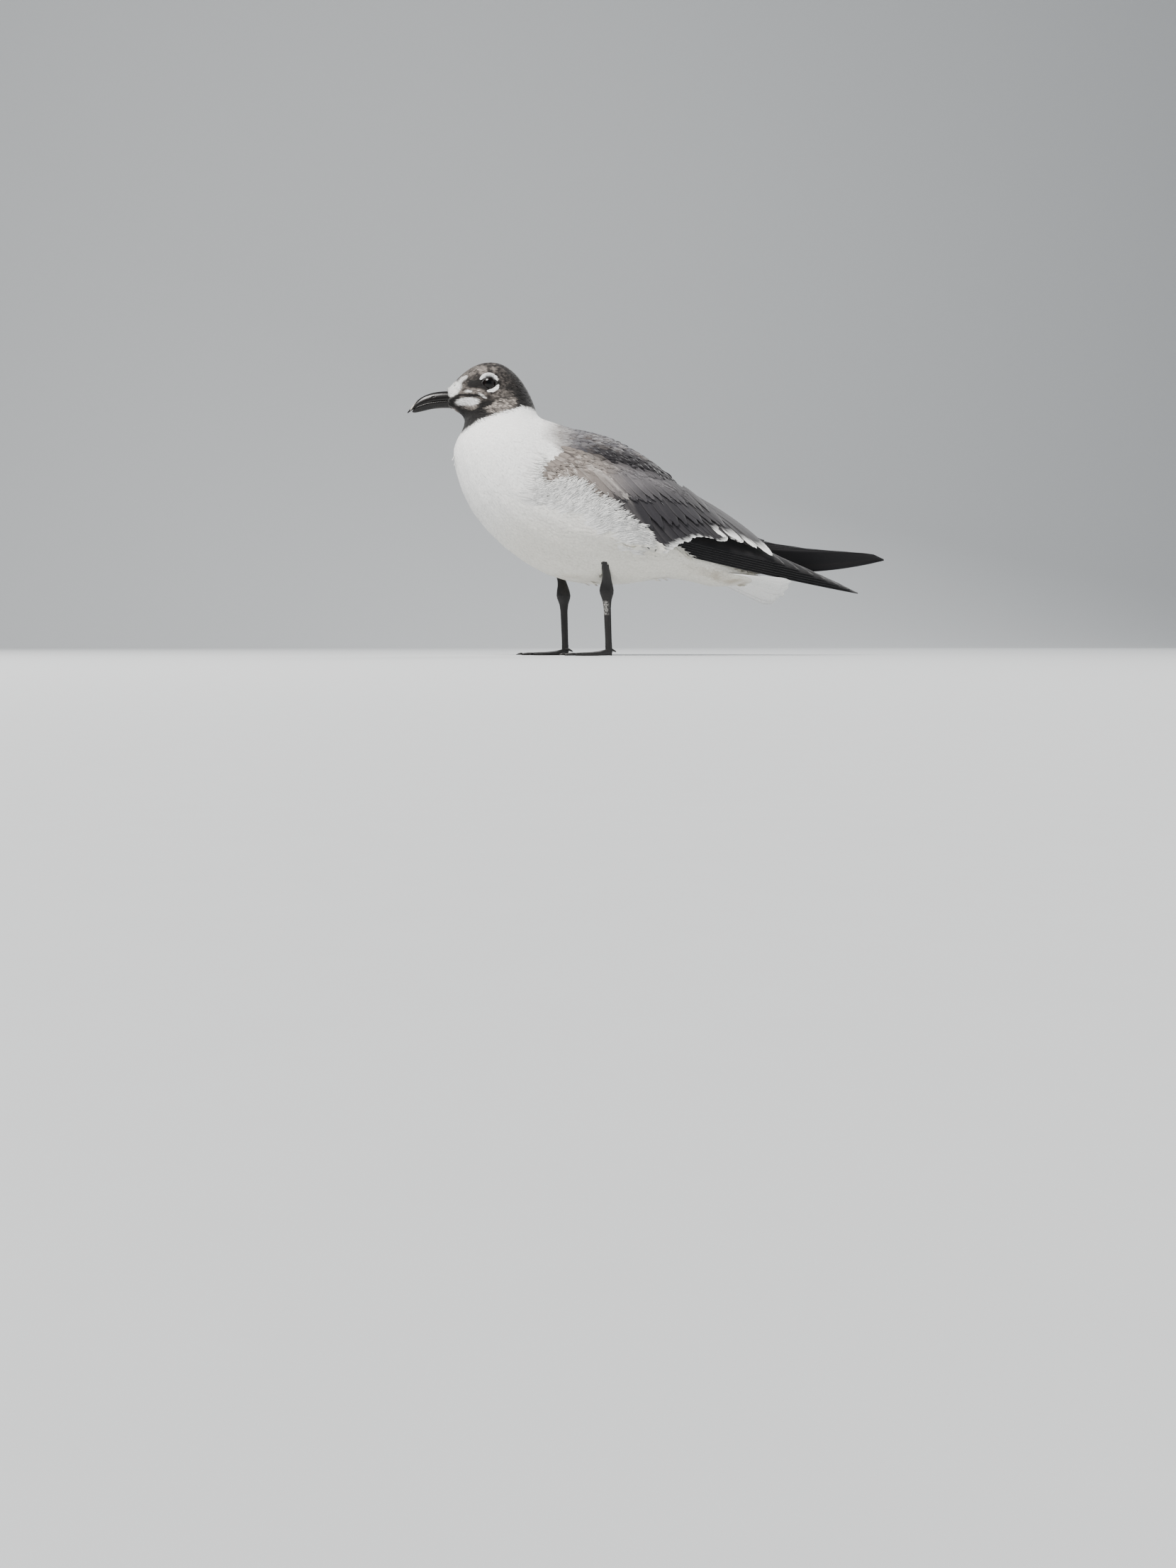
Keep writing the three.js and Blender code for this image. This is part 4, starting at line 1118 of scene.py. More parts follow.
primaryLines = {  # leading edge of the longest quill (x, side, z), and the way its vane spreads (side, z)
    "left": {
        "root": (52, 36, 84.5), "bend": (136, 20, 66), "tip": (223, -4, 52.5),
        "atRoot": (-0.3, 1), "atTip": (-1, 0.55)},
    "right": {
        "root": (52, 36, 93), "bend": (150, 14, 56), "tip": (241.5, -9, 80),
        "atRoot": (-0.3, 1), "atTip": (-0.75, 1)},
}
primarySettings = {
    "stepBack": [0, 8, 19, 31, 44, 58, 72], "width": 21, "narrowing": 0.7, "stepUp": 2.0, "pitch": 0.8,
    "leading": 0.26, "shaftHalf": 0.05, "shaft": 0.35, "fray": 0.04, "arch": 0.6, "rows": 26, "columns": 11,
    "thick": 0.35, "worn": 0.1,
}


def primaryFeathers(name, side, settings):
    line = primaryLines[name]
    mirrored = np.array([1, side, 1])
    root, bend, tip = (np.array(line[key], float) * mirrored for key in ("root", "bend", "tip"))
    length = sum(np.linalg.norm(end - start) / 2 for start, end in ((root, bend), (root, tip), (bend, tip)))
    spread = [unit(np.array([0, side * line[key][0], line[key][1]], float)) for key in ("atRoot", "atTip")]
    s = np.linspace(0, 1, settings["rows"])
    column = np.linspace(0, 1, settings["columns"])
    shaft = np.exp(-((column - settings["leading"]) / settings["shaftHalf"]) ** 2) * settings["shaft"]
    taper = np.sqrt(np.clip(1 - (np.clip(s - 0.5, 0, 1) / 0.5) ** 2.2, 0.003, 1))
    grids = []
    for q, back in enumerate(settings["stepBack"]):
        shift = spread[0] * q * settings["stepUp"] + np.array([0, side * q * settings["pitch"], 0])
        t = (s * (1 - back / length))[:, None]
        edge = (root * (1 - t) ** 2 + 2 * bend * t * (1 - t) + tip * t ** 2) + shift
        along = unit(np.gradient(edge, axis=0))
        across = unit(spread[0] * (1 - t) + spread[1] * t)
        across = unit(across - along * np.einsum("ij,ij->i", across, along)[:, None])
        out = unit(np.cross(along, across)) * side * -1
        width = settings["width"] - q * settings["narrowing"]
        fray = 1 - settings["fray"] * chance.random(settings["columns"]) * step(0.7, 1.0, column)
        breadth = (width * taper)[:, None] * column[None, :] * fray[None, :]
        height = (shaft + settings["arch"] * np.sin(np.pi * column))[None, :, None]
        grids.append(edge[:, None] + across[:, None] * breadth[..., None] + out[:, None] * height)
    grid = np.stack(grids)
    who, reach, columnShare = np.broadcast_arrays(
        7.3 * np.arange(len(grids))[:, None, None], s[None, :, None], column[None, None, :])
    vane = np.stack([(columnShare - settings["leading"]) * settings["width"], reach * length, who], axis=3)
    worn = step(0.75, 1.0, reach) * settings["worn"] * (0.4 + 0.6 * chance.random(reach.shape))
    quill = np.tile(shades["quill"], reach.shape + (1,))
    return grid, vane, reach, mix(quill, ("quillWorn", worn), ("quillWorn", shaft + 0 * reach))


def quillMap(count, rows, columns):  # each big feather has its own strip of the map
    along = np.linspace(0.02, 0.98, rows)[None, :, None]
    across = (np.arange(count)[:, None, None] + 0.1 + 0.8 * np.linspace(0, 1, columns)[None, None, :]) / count
    return np.stack(np.broadcast_arrays(along, across), axis=3)


def quillPiece(name, drawn, thickness, node):  # a bundle of big feathers as one piece with its own map
    piece = featherMesh(name, [(*drawn, quillMap(*drawn[0].shape[:3]))])
    applyModifier(piece, "SOLIDIFY", thickness=thickness * mm, offset=-1.0)
    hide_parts(node)


for sideName, side in wingSides.items():
    quills = primaryFeathers(sideName, side, primarySettings)
    name, node = "primaryFeathers_" + sideName, "primaries_" + sideName
    quillPiece(name, quills, primarySettings["thick"], node)

# ---- tail

tailSettings = {
    "root": (76, 76), "tip": (159, 55), "halfRoot": 8, "halfTip": 30, "feathers": 12, "rounding": 4,
    "arch": 1.5, "middleLift": 0.3, "lap": 0.12, "width": 17, "rows": 16, "columns": 11, "thick": 0.3,
}
tailForm = vaneForm(0.25, 0.78, 0.82, 0.06, 0.015, 0.02, 1.5, 0.35)


def tailFeathers(settings):
    count = settings["feathers"]
    across = (2 * np.arange(count) + 1) / count - 1
    s = np.linspace(0, 1, settings["rows"])[None, :]
    reach = settings["tip"][0] - settings["rounding"] * across ** 2 + chance.normal(0, 1.0, count)
    half = settings["halfRoot"] + (settings["halfTip"] - settings["halfRoot"]) * s
    twist = np.radians(tailPlane["twist"]) * s
    x = settings["root"][0] + (reach[:, None] - settings["root"][0]) * s
    y = across[:, None] * half
    z = settings["root"][1] + (settings["tip"][1] - settings["root"][1]) * s
    z = z - settings["arch"] * across[:, None] ** 2 - across[:, None] * half * np.sin(twist)
    z = z + settings["middleLift"] * (1 - np.abs(across[:, None]) * 2)  # the middle pair lies on top
    spine = np.stack(np.broadcast_arrays(x, y, z), axis=-1)
    slope = np.sin(twist) + 2 * settings["arch"] * across[:, None] / half
    up = unit(np.stack(np.broadcast_arrays(0 * x, slope, np.cos(twist) + 0 * x), axis=-1))
    flat = np.zeros(count)
    widths = flat + settings["width"]
    grid, vane, share = vanes(spine, up, widths, flat, flat, settings["columns"], tailForm)
    lean = np.sign(across)[:, None, None] * np.linspace(-1, 1, settings["columns"])[None, None, :]
    grid[..., 2] += settings["lap"] * lean  # inner edges over outer ones
    colours = np.tile(shades["white"], share.shape + (1,)) * (1 + chance.normal(0, 0.02, (count, 1, 1, 1)))
    # painted shade: cream-grey towards the roots, under the coverts
    return grid, vane, share, mix(colours, ("creamShade", 0.5 * step(0.5, 0.0, share)))


quillPiece("tailFeathers", tailFeathers(tailSettings), tailSettings["thick"], "tail")

# Tail coverts lie in rows over and under the tail's base: where each row starts and ends, how broad it is,
# and how far off the tail's sheet it lies.
covertRows = [
    {"way": -1, "root": 92, "tip": 130, "count": 11, "halfRoot": 9, "halfTip": 21, "off": (6.0, 1.4)},
    {"way": -1, "root": 98, "tip": 140, "count": 9, "halfRoot": 8, "halfTip": 19, "off": (4.0, 0.8)},
    {"way": 1, "root": 90, "tip": 127, "count": 9, "halfRoot": 8, "halfTip": 17, "off": (7.0, 1.6)},
    {"way": 1, "root": 96, "tip": 136, "count": 7, "halfRoot": 7, "halfTip": 15, "off": (5.0, 0.9)},
]
covertSettings = {
    "rows": 12, "columns": 9, "width": 10.5, "rounding": 9, "depth": 0.3, "domed": 0.35, "lap": 0.25,
}
tailCovertForm = vaneForm(0.6, 0.55, 0.5, 0.2, 0.08, 0.06, 1.5, 0.1)


def tailCoverts(settings):
    bundles = []
    for row in covertRows:
        count = row["count"]
        across = ((2 * np.arange(count) + 1) / count - 1)[:, None]
        s = np.linspace(0, 1, settings["rows"])[None, :]
        tips = row["tip"] - settings["rounding"] * across ** 2 + chance.normal(0, 1.2, (count, 1))
        x = row["root"] + (tips - row["root"]) * s
        y = across * (row["halfRoot"] + (row["halfTip"] - row["halfRoot"]) * s)
        off = row["off"][0] + (row["off"][1] - row["off"][0]) * s ** 0.8
        points = np.stack([x, y, 0 * x], axis=-1)
        height = tailHeight(points.reshape(-1, 3)).reshape(x.shape)
        order = settings["lap"] * (1 - 2 * np.abs(across))
        points[..., 2] = height + row["way"] * (off * (1 - settings["domed"] * across ** 2) + order)
        up = unit(np.stack([0 * x, 0.25 + row["way"] * 0.5 * across + 0 * x, row["way"] + 0 * x], axis=-1))
        widths, flat = np.full(count, settings["width"]), np.zeros(count)
        grid, vane, reach = vanes(
            points, up, widths, flat + settings["depth"], flat, settings["columns"], tailCovertForm)
        colours = markings(points.reshape(-1, 3)).reshape(count, settings["rows"], 1, 3)
        colours = colours * np.ones((1, 1, settings["columns"], 1))
        streaks = np.exp(chance.normal(0, 0.01, (count, 1, settings["columns"], 1)))
        bundles.append((grid, vane, reach, np.clip(colours * streaks, 0, 0.96), mapPlace(points[:, 0])))
    return bundles


featherMesh("tailCoverts", tailCoverts(covertSettings))

# ---- long white locks of the flank, lapping up over the wing's front edge

flankSettings = {
    "rows": 8, "rowStep": 4.2, "locks": 40, "strands": 9, "length": 16, "width": 1.2, "depth": 1.2,
    "fan": -12, "rise": 1.8, "curl": 22, "shadow": 0.42, "raised": 0.5, "strandRows": 7, "strandColumns": 3,
    "calm": (1, 0.85, 0.5, 0.3, 0.2, 0.15, 0.1, 0.1),  # the locks stand out only along the wing
}
# each line of locks with its share of them and their strength
lockTables = [(flankTable, 1.0, 1.0), (shoulderTable, 0.2, 0.45)]
strandForm = vaneForm(0.8, 0.35, 0.10, 0.0, 0.0, 0.22, 1.3, 0)


def flankStrands(side, settings):
    # Each strand's root, lie, length, rise, lightness and how far its lock stands out.
    strands = []
    for row, (table, share, strength) in product(range(settings["rows"]), lockTables):
        locks = int(settings["locks"] * share * (1 if row > 1 else 1.5))
        t = (np.arange(locks) + chance.random(locks)) / locks
        x, z, lies, deep = (np.interp(t, np.linspace(0, 1, len(table)), table[:, i]) for i in range(4))
        calms = settings["calm"][row] * strength * (0.4 + 0.6 * step(0.0, 0.3, t))
        for i, calm in enumerate(calms.tolist()):
            if row > deep[i] + chance.uniform(-0.6, 0.6):
                continue
            turn = math.radians(lies[i] * (1 - 0.06 * row) + chance.normal(0, 8))
            reach = settings["length"] * chance.uniform(0.75, 1.25)
            tip = np.array([x[i] + 3 - 1.2 * row, z[i] + 1.5 - row * settings["rowStep"]])
            tip = tip + chance.normal(0, 1.3, 2)
            middle = tip - reach * np.array([math.cos(turn), math.sin(turn)])
            light = chance.uniform(0.8, 1.0)
            for share in np.arange(settings["strands"]) / (settings["strands"] - 1) - 0.5:
                bend = turn + math.radians(settings["fan"]) * share + math.radians(chance.normal(0, 3))
                place = middle + chance.normal(0, 0.4, 2) + np.array([-1.6 * share, 5.0 * share])
                length = reach * chance.uniform(0.8, 1.15)
                rise = settings["rise"] * calm * chance.uniform(0.4, 1.2)
                glow = (light * chance.uniform(0.84, 1.0) - 0.96) * (0.25 + 0.75 * calm) + 0.96
                root, lie = (place[0], side * 60.0, place[1]), (math.cos(bend), 0.0, math.sin(bend))
                strands.append((*root, *lie, length, rise, glow, calm))
    return np.array(strands)


def flankLocks(sideName, side, settings):
    strands = flankStrands(side, settings)
    inwards = Vector((0, -side, 0))
    rays = [outer.tree.ray_cast(Vector(root), inwards, 60.0)[0] for root in strands[:, :3].tolist()]
    roots = np.array([list(hit) for hit in rays if hit is not None])
    strands = strands[np.array([hit is not None for hit in rays])]
    lies, (lengths, rises, glow, roost) = strands[:, 3:6], strands[:, 6:].T
    widths = settings["width"] * chance.uniform(0.7, 1.25, len(roots))
    depths = np.full(len(roots), settings["depth"])
    curl = -side * np.radians(settings["curl"]) * chance.uniform(-0.2, 1.2, len(roots))
    grid, vane, reach, spine = drawFeathers(
        roots, lies, lengths, widths, depths, rises, settings["strandRows"], settings["strandColumns"],
        strandForm, settings["raised"], curl)
    colours = np.tile(shades["white"], reach.shape + (1,)) * glow[:, None, None, None]
    # painted shade: each strand darker towards its root, under the strands that lie over it
    rootShade = settings["shadow"] * roost[:, None, None] * (1 - step(0.1, 0.7, reach))
    colours = np.clip(colours * (1 - rootShade)[..., None], 0, 0.96)
    close = (outer.distances(spine[:, -1]) < 2.5) & (outer.distances(spine[:, 3]) < 1.5)
    bundle = (grid[close], vane[close], reach[close], colours[close], mapPlace(roots[close]))
    featherMesh("flankLocks_" + sideName, [bundle])


for sideName, side in wingSides.items():
    flankLocks(sideName, side, flankSettings)

# ---- bare parts: bill, eyes, legs and feet


def at(x, y, z):
    return Vector(toFrame([x, y, z]))


def nameAdded(name):  # names the shape just added, with its place and turn taken into its mesh
    piece = bpy.context.object
    piece.name = piece.data.name = name
    bpy.ops.object.transform_apply(location=True, rotation=True, scale=True)
    return piece


def drawOut(name, sections, sides, axis, material):
    # A closed tube drawn out ring by ring along one axis; a section is x, y, z and the ring's two half sizes.
    def swell(wide, high, centre):
        size = (1, wide, high) if axis == "x" else (wide, high, 1)
        bpy.ops.transform.resize(value=size, center_override=at(*centre))

    turn = (0, math.pi / 2, 0) if axis == "x" else (0, 0, 0)
    bpy.ops.object.select_all(action="DESELECT")
    bpy.ops.mesh.primitive_circle_add(
        vertices=sides, radius=mm, fill_type="NGON", location=at(*sections[0][:3]), rotation=turn)
    piece = nameAdded(name)
    with editing(piece):
        swell(*sections[0][3:], sections[0][:3])
        for before, after in zip(sections, sections[1:]):
            move = at(*after[:3]) - at(*before[:3])
            bpy.ops.mesh.extrude_region_move(TRANSFORM_OT_translate={"value": move})
            swell(after[3] / before[3], after[4] / before[4], after[:3])
        bpy.ops.mesh.select_all(action="SELECT")
        bpy.ops.mesh.normals_make_consistent(inside=False)
    piece.data.materials.append(material)
    return piece


def finishPiece(piece, levels=1, nodes=()):
    if levels:
        applyModifier(piece, "SUBSURF", levels=levels, render_levels=levels)
    select(piece)
    bpy.ops.object.shade_smooth()
    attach(piece, "root")
    if nodes:
        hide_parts(*nodes)
    print(piece.name + " is made")
    return piece


def openWith(piece, kind, wanted):  # edit mode on a piece with only its wanted edges or faces selected
    select(piece)
    bpy.ops.object.mode_set(mode="EDIT")
    bpy.ops.mesh.select_mode(type=kind)
    bpy.ops.mesh.select_all(action="DESELECT")
    bpy.ops.object.mode_set(mode="OBJECT")
    for part in (piece.data.polygons if kind == "FACE" else piece.data.edges):
        part.select = wanted(part)
    bpy.ops.object.mode_set(mode="EDIT")


hornFinish = {
    "black": "#0c0a09", "brown": "#231a15", "worn": "#cfc8c0", "flesh": "#b7a39a", "roughness": 0.24,
    "growthMm": 0.5, "growthDepth": 0.08, "blotchScale": 0.55, "specular": 0.35,
    "ridge": (1.55, 442.6), "ridgeGap": (-1.9, -0.6), "paleStripFrom": (-146.5, -149.5),
    "paleStripTo": (-157.0, -155.6), "patchy": (0.3, 0.5, 0.45, 1.0),
    "chinBelow": (201.6, 200.3), "chinBehind": (-136.0, -130.0),
}


def hornMaterial(name, finish, marked):
    # Bill sheath: smooth grown keratin, black with a brown cast, its drooping end pale with wear and a painted
    # highlight.
    paint = Paint(name)
    place = paint.onBird()
    lengthwise = paint.add("Mapping", {"Vector": place, "Scale": (0.18, 1.4, 1.4)})
    growth = paint.noise(lengthwise, 1 / finish["growthMm"], 4.0)
    tint = paint.mix(paint.ranged(growth, 0.5, 0.95), opaque(finish["black"]), opaque(finish["brown"]))
    if marked:
        x, _, z = paint.parts(place)
        # the pale strip runs down the ridge where the bill droops: worn horn, with a painted highlight on the
        # curve
        gap = paint.math("SUBTRACT", z, paint.math("MULTIPLY_ADD", x, *finish["ridge"]))
        patchy = paint.ranged(paint.noise(place, finish["blotchScale"], 3.0), *finish["patchy"])
        ends = (paint.ranged(x, *finish["paleStripFrom"]), paint.ranged(x, *finish["paleStripTo"]))
        strip = paint.product(paint.ranged(gap, *finish["ridgeGap"]), *ends, patchy)
        tint = paint.mix(strip, tint, opaque(finish["worn"]))
        # bare pinkish skin between the arms of the lower jaw
        chin = paint.product(paint.ranged(z, *finish["chinBelow"]), paint.ranged(x, *finish["chinBehind"]))
        tint = paint.mix(chin, tint, opaque(finish["flesh"]))
    rough = paint.ranged(growth, 0, 1, finish["roughness"] - 0.05, finish["roughness"] + 0.12)
    return paint.finish({
        "Base Color": tint, "Roughness": rough, "Normal": paint.bump(growth, 0.15, finish["growthDepth"]),
        "IOR": 1.54, "Specular IOR Level": finish["specular"]})


horn = hornMaterial("billHorn", hornFinish, True)
clawHorn = hornMaterial("clawHorn", hornFinish, False)
billSections = [  # x, ridge, cutting edge, foot, half width
    (-118, 215.6, 207.6, 201.6, 5.8), (-124, 215.2, 207.3, 201.5, 5.3), (-130, 215.1, 206.9, 201.4, 4.9),
    (-136, 214.2, 206.3, 200.9, 4.5), (-140, 213.2, 205.7, 200.2, 4.2), (-144, 211.7, 204.8, 199.2, 3.9),
    (-147.5, 209.9, 203.7, 198.3, 3.5), (-150.5, 207.6, 202.4, 197.6, 3.0), (-153, 204.9, 200.9, 197.2, 2.5),
    (-155.2, 202.3, 199.4, 196.9, 1.95), (-157.2, 199.8, 197.9, 196.5, 1.4),
    (-159.1, 197.5, 196.7, 196.1, 0.6),
]
billSettings = {
    "sides": 24, "flat": 0.30, "lowerEnd": -153.5, "lowerTip": (0, 198.2, 1.3, 0.75), "lap": (0.25, 0.3),
    "lowerWidth": 0.86, "squareness": 0.4, "nostril": (-136.6, 209.4), "nostrilHalf": (3.4, 0.65),
    "nostrilRims": ((0.28, 0), (0.08, -0.7)),
}


def flattenHalf(piece, settings, upper):  # presses one half of every ring towards its cutting edge
    rings = {}
    for vertex in piece.data.vertices:
        rings.setdefault(round(vertex.co.x / mm, 2), []).append(vertex)
    for ring in rings.values():
        middle = (max(v.co.z for v in ring) + min(v.co.z for v in ring)) / 2
        half = max(abs(v.co.y) for v in ring)
        for vertex in ring:
            if (vertex.co.z < middle - 1e-6) == upper and abs(vertex.co.z - middle) > 1e-6:
                vertex.co.z = middle + (vertex.co.z - middle) * settings["flat"]
                vertex.co.y = math.copysign(
                    half * (abs(vertex.co.y) / half) ** settings["squareness"], vertex.co.y)


def isNostril(face):
    place, (x, z), (halfX, halfZ) = toBird(face.center), billSettings["nostril"], billSettings["nostrilHalf"]
    return abs(place[0] - x) < halfX and abs(place[2] - z) < halfZ and abs(face.normal.y) > 0.4


def buildBill(settings):
    upper, lower = [], []
    for x, ridge, edge, foot, half in billSections:
        high = (ridge - edge + settings["lap"][0]) / (1 + settings["flat"])
        upper.append((x, 0, ridge - high, half, high))
        if x > settings["lowerEnd"]:
            deep = (edge + settings["lap"][1] - foot) / (1 + settings["flat"])
            lower.append((x, 0, foot + deep, half * settings["lowerWidth"], deep))
    lower.append((settings["lowerEnd"] - 1.6, *settings["lowerTip"]))
    top = drawOut("billUpper", upper, settings["sides"], "x", horn)
    flattenHalf(top, settings, True)
    openWith(top, "FACE", isNostril)
    for thickness, depth in settings["nostrilRims"]:
        bpy.ops.mesh.inset(thickness=thickness * mm, depth=depth * mm)
    bpy.ops.mesh.select_mode(type="VERT")
    bpy.ops.object.mode_set(mode="OBJECT")
    finishPiece(top, 2, ["bill_upper"])
    bottom = drawOut("billLower", lower, settings["sides"], "x", horn)
    flattenHalf(bottom, settings, False)
    finishPiece(bottom, 2, ["bill_lower"])


buildBill(billSettings)

# ---- eyes

eyeFinish = {"iris": "#140b07", "pupil": "#020202", "roughness": 0.05, "rim": (2.3, 2.7), "fibreScale": 1.6}
eyeSettings = {
    "radius": 5.6, "side": 13.0, "flatten": 0.80,
    "lidHalf": 4.95, "lidThick": 0.62, "lidAt": 15.2, "lidTurn": 9, "lidFlatten": 0.86,
    "cornerFrom": 2.8, "cornerDraw": 0.35, "cornerClose": 0.12, "cornerDrop": 0.1,
}


def eyeMaterial(name, finish):
    # A wet cornea over an iris so dark a brown that only its rim parts from the pupil.
    paint = Paint(name)
    place = paint.onBird(*eyeCentre, axes=(1, 0, 1))
    radius = paint.add("VectorMath", {0: place}, "Value", operation="LENGTH")
    share = paint.product(paint.ranged(radius, *finish["rim"]), paint.noise(place, finish["fibreScale"], 3.0))
    colour = paint.mix(share, opaque(finish["pupil"]), opaque(finish["iris"]))
    return paint.finish({"Base Color": colour, "Roughness": finish["roughness"], "IOR": 1.36})


skinFinish = {
    "black": "#100d0c", "dusty": "#2e2825", "chalk": "#bdbab4", "scaleMm": 1.1, "seam": (0.02, 0.14),
    "seamDepth": 0.08, "roughness": 0.45, "dust": (0.5, 0.8, 0.0, 0.55), "chalkFrom": (33.0, 34.5),
    "chalkTo": (45.5, 43.5), "chalkFront": (4.4, 1.4), "flecks": (0.4, 0.66, 0.05, 0.85),
}


def bareSkinMaterial(name, finish, chalky):
    # Scaly skin of the legs: small horny plates with a dull polish, greyed where they are worn.
    paint = Paint(name)
    place = paint.onBird()
    plates = paint.add("TexVoronoi", {"Vector": place, "Scale": 1 / finish["scaleMm"]}, "Distance",
                       feature="DISTANCE_TO_EDGE")
    seams = paint.ranged(plates, *finish["seam"])
    dust = paint.product(paint.ranged(paint.noise(place, 0.35, 4.0), *finish["dust"]), seams)
    tint = paint.mix(dust, opaque(finish["black"]), opaque(finish["dusty"]))
    if chalky:  # a chalky fleck on the front of the near shank
        x, _, z = paint.parts(place)
        inside = (paint.ranged(z, *finish["chalkTo"]), paint.ranged(x, *finish["chalkFront"]))
        flecks = paint.ranged(paint.noise(place, 0.8, 5.0), *finish["flecks"])
        share = paint.product(paint.ranged(z, *finish["chalkFrom"]), *inside, flecks)
        tint = paint.mix(share, tint, opaque(finish["chalk"]))
    bump = paint.bump(seams, 0.4, finish["seamDepth"])
    return paint.finish({"Base Color": tint, "Roughness": finish["roughness"], "Normal": bump, "IOR": 1.5})


eyeGloss = eyeMaterial("cornea", eyeFinish)
scalySkin = bareSkinMaterial("scalySkin", skinFinish, False)
flecked = bareSkinMaterial("scalySkinFlecked", skinFinish, True)


def buildEye(sideName, side, settings):
    bpy.ops.object.select_all(action="DESELECT")
    centre = at(eyeCentre[0], side * settings["side"], eyeCentre[1])
    bpy.ops.mesh.primitive_uv_sphere_add(
        segments=32, ring_count=20, radius=settings["radius"] * mm, location=centre,
        rotation=(math.pi / 2, 0, 0))
    ball = nameAdded("eyeball_" + sideName)
    with editing(ball):
        bpy.ops.transform.resize(value=(1, settings["flatten"], 1), center_override=centre)
    ball.data.materials.append(eyeGloss)
    finishPiece(ball, 0, ["eye_" + sideName])
    # the lid: a low rim round the opening, drawn to a corner in front and turned with the face
    bpy.ops.object.select_all(action="DESELECT")
    middle = at(eyeCentre[0], side * settings["lidAt"], eyeCentre[1])
    bpy.ops.mesh.primitive_torus_add(
        major_segments=40, minor_segments=10, major_radius=settings["lidHalf"] * mm,
        minor_radius=settings["lidThick"] * mm, location=middle,
        rotation=(math.pi / 2, 0, -side * math.radians(settings["lidTurn"])))
    lid = nameAdded("lid_" + sideName)
    with editing(lid):
        bpy.ops.transform.resize(value=(1, 1, settings["lidFlatten"]), center_override=middle)
    for vertex in lid.data.vertices:
        ahead = middle.x - vertex.co.x - settings["cornerFrom"] * mm
        if ahead > 0:
            closing = 1 - ahead / mm * settings["cornerClose"]
            vertex.co.x -= ahead * settings["cornerDraw"]
            vertex.co.z = middle.z + (vertex.co.z - middle.z) * closing - ahead * settings["cornerDrop"]
    lid.data.materials.append(scalySkin)
    finishPiece(lid, 1)


for sideName, side in wingSides.items():
    buildEye(sideName, side, eyeSettings)

# ---- legs and feet

# Tables of the leg run from its top: share of the way, then two half sizes. Splay has the share of the way,
# then how far the middle stands out and back.
legSettings = {
    "side": 21, "sides": 14, "scuteMm": 2.5, "scuteLip": 0.16, "footTop": 2.4,
    "left": {"knee": (-6, 88), "ankle": (2, 53.5), "foot": 4, "lean": 1.0},
    "right": {"knee": (-39, 90), "ankle": (-28.5, 50.5), "foot": -27, "lean": 0.8},
    "shin": [(0, 1.8, 1.8), (0.2, 2.2, 2.2), (0.3, 2.6, 2.5), (0.42, 3.1, 2.8), (0.55, 3.4, 2.9),
             (0.66, 3.7, 2.9), (0.76, 4.2, 3.0), (0.84, 5.0, 3.2), (0.92, 5.8, 3.5), (1.0, 6.1, 3.7)],
    "splay": [(0, 8, 0.4), (0.2, 12.5, 0.6), (0.3, 13.2, 0.9), (0.42, 11.5, 1.4), (0.55, 7.5, 2.0),
              (0.66, 4, 2.2), (0.76, 1.4, 1.8), (0.84, 0.5, 1.3), (0.92, 0, 0.6), (1, 0, 0)],
    "shank": [(0, 6.1, 3.7), (0.05, 5.8, 3.6), (0.1, 4.9, 3.2), (0.16, 3.9, 2.6), (0.28, 3.1, 2.2),
              (0.8, 2.8, 2.1), (0.95, 3.0, 2.5), (1.0, 3.0, 2.6), (1.035, 2.3, 1.9)],
}
# Girths and claw sections have the share of the length, then the height and girth there. The hind toe's have how
# far behind the foot's middle they are, the height and two half sizes.
toeSettings = {
    "length": 37, "radius": 2.0, "sides": 10, "angles": (-27, 0, 27), "reach": (0.86, 1.0, 0.9),
    "scuteMm": 2.2, "scuteLip": 0.09, "least": 0.4, "hindIn": 1.5,
    "girth": [(-0.07, 2.4, 0.55), (-0.045, 2.8, 1.0), (0, 3.2, 1.25), (0.1, 2.6, 1.2), (0.22, 2.0, 1.0),
              (0.34, 1.75, 1.08), (0.46, 1.55, 0.9), (0.6, 1.5, 1.0), (0.72, 1.3, 0.8), (0.85, 1.35, 0.85),
              (0.96, 1.1, 0.62), (1.0, 1.0, 0.4)],
    "hind": [(-1, 5.6, 1.7, 1.6), (2, 5.2, 1.5, 1.4), (4.5, 4.3, 1.1, 1.0), (6.6, 3.0, 0.5, 0.5)],
}
webSettings = {
    "reach": 0.9, "notch": 0.2, "root": 1.5, "height": 0.9, "rootLift": 0.9, "fold": 0.28, "folds": (19, 4),
    "thick": 0.55, "cuts": 12,
}
clawSettings = {
    "length": 6.0, "overlap": 0.8, "sides": 10, "least": 0.16,
    "sections": [(0, 1.3, 1.2), (0.3, 1.55, 1.05), (0.6, 1.3, 0.75), (0.85, 0.8, 0.42), (1, 0.35, 0.12)],
}


def scuted(sections, spacing, lip, axisOf):  # rings at every plate's edge, so each overlaps the next one
    rows = np.array(sections, float)
    run = np.abs(np.diff(rows[:, axisOf], prepend=rows[0, axisOf])).cumsum()
    plates = max(2, int(run[-1] / spacing))
    made = []
    for k in range(plates):
        for share, swell in ((0.04, 1 + lip), (0.9, 1 - lip * 0.3)):
            spotAt = (k + share) / plates * run[-1]
            values = [np.interp(spotAt, run, rows[:, i]) for i in range(5)]
            made.append((*values[:3], values[3] + (swell - 1), values[4] + (swell - 1)))
    return [tuple(rows[0])] + made + [tuple(rows[-1])]


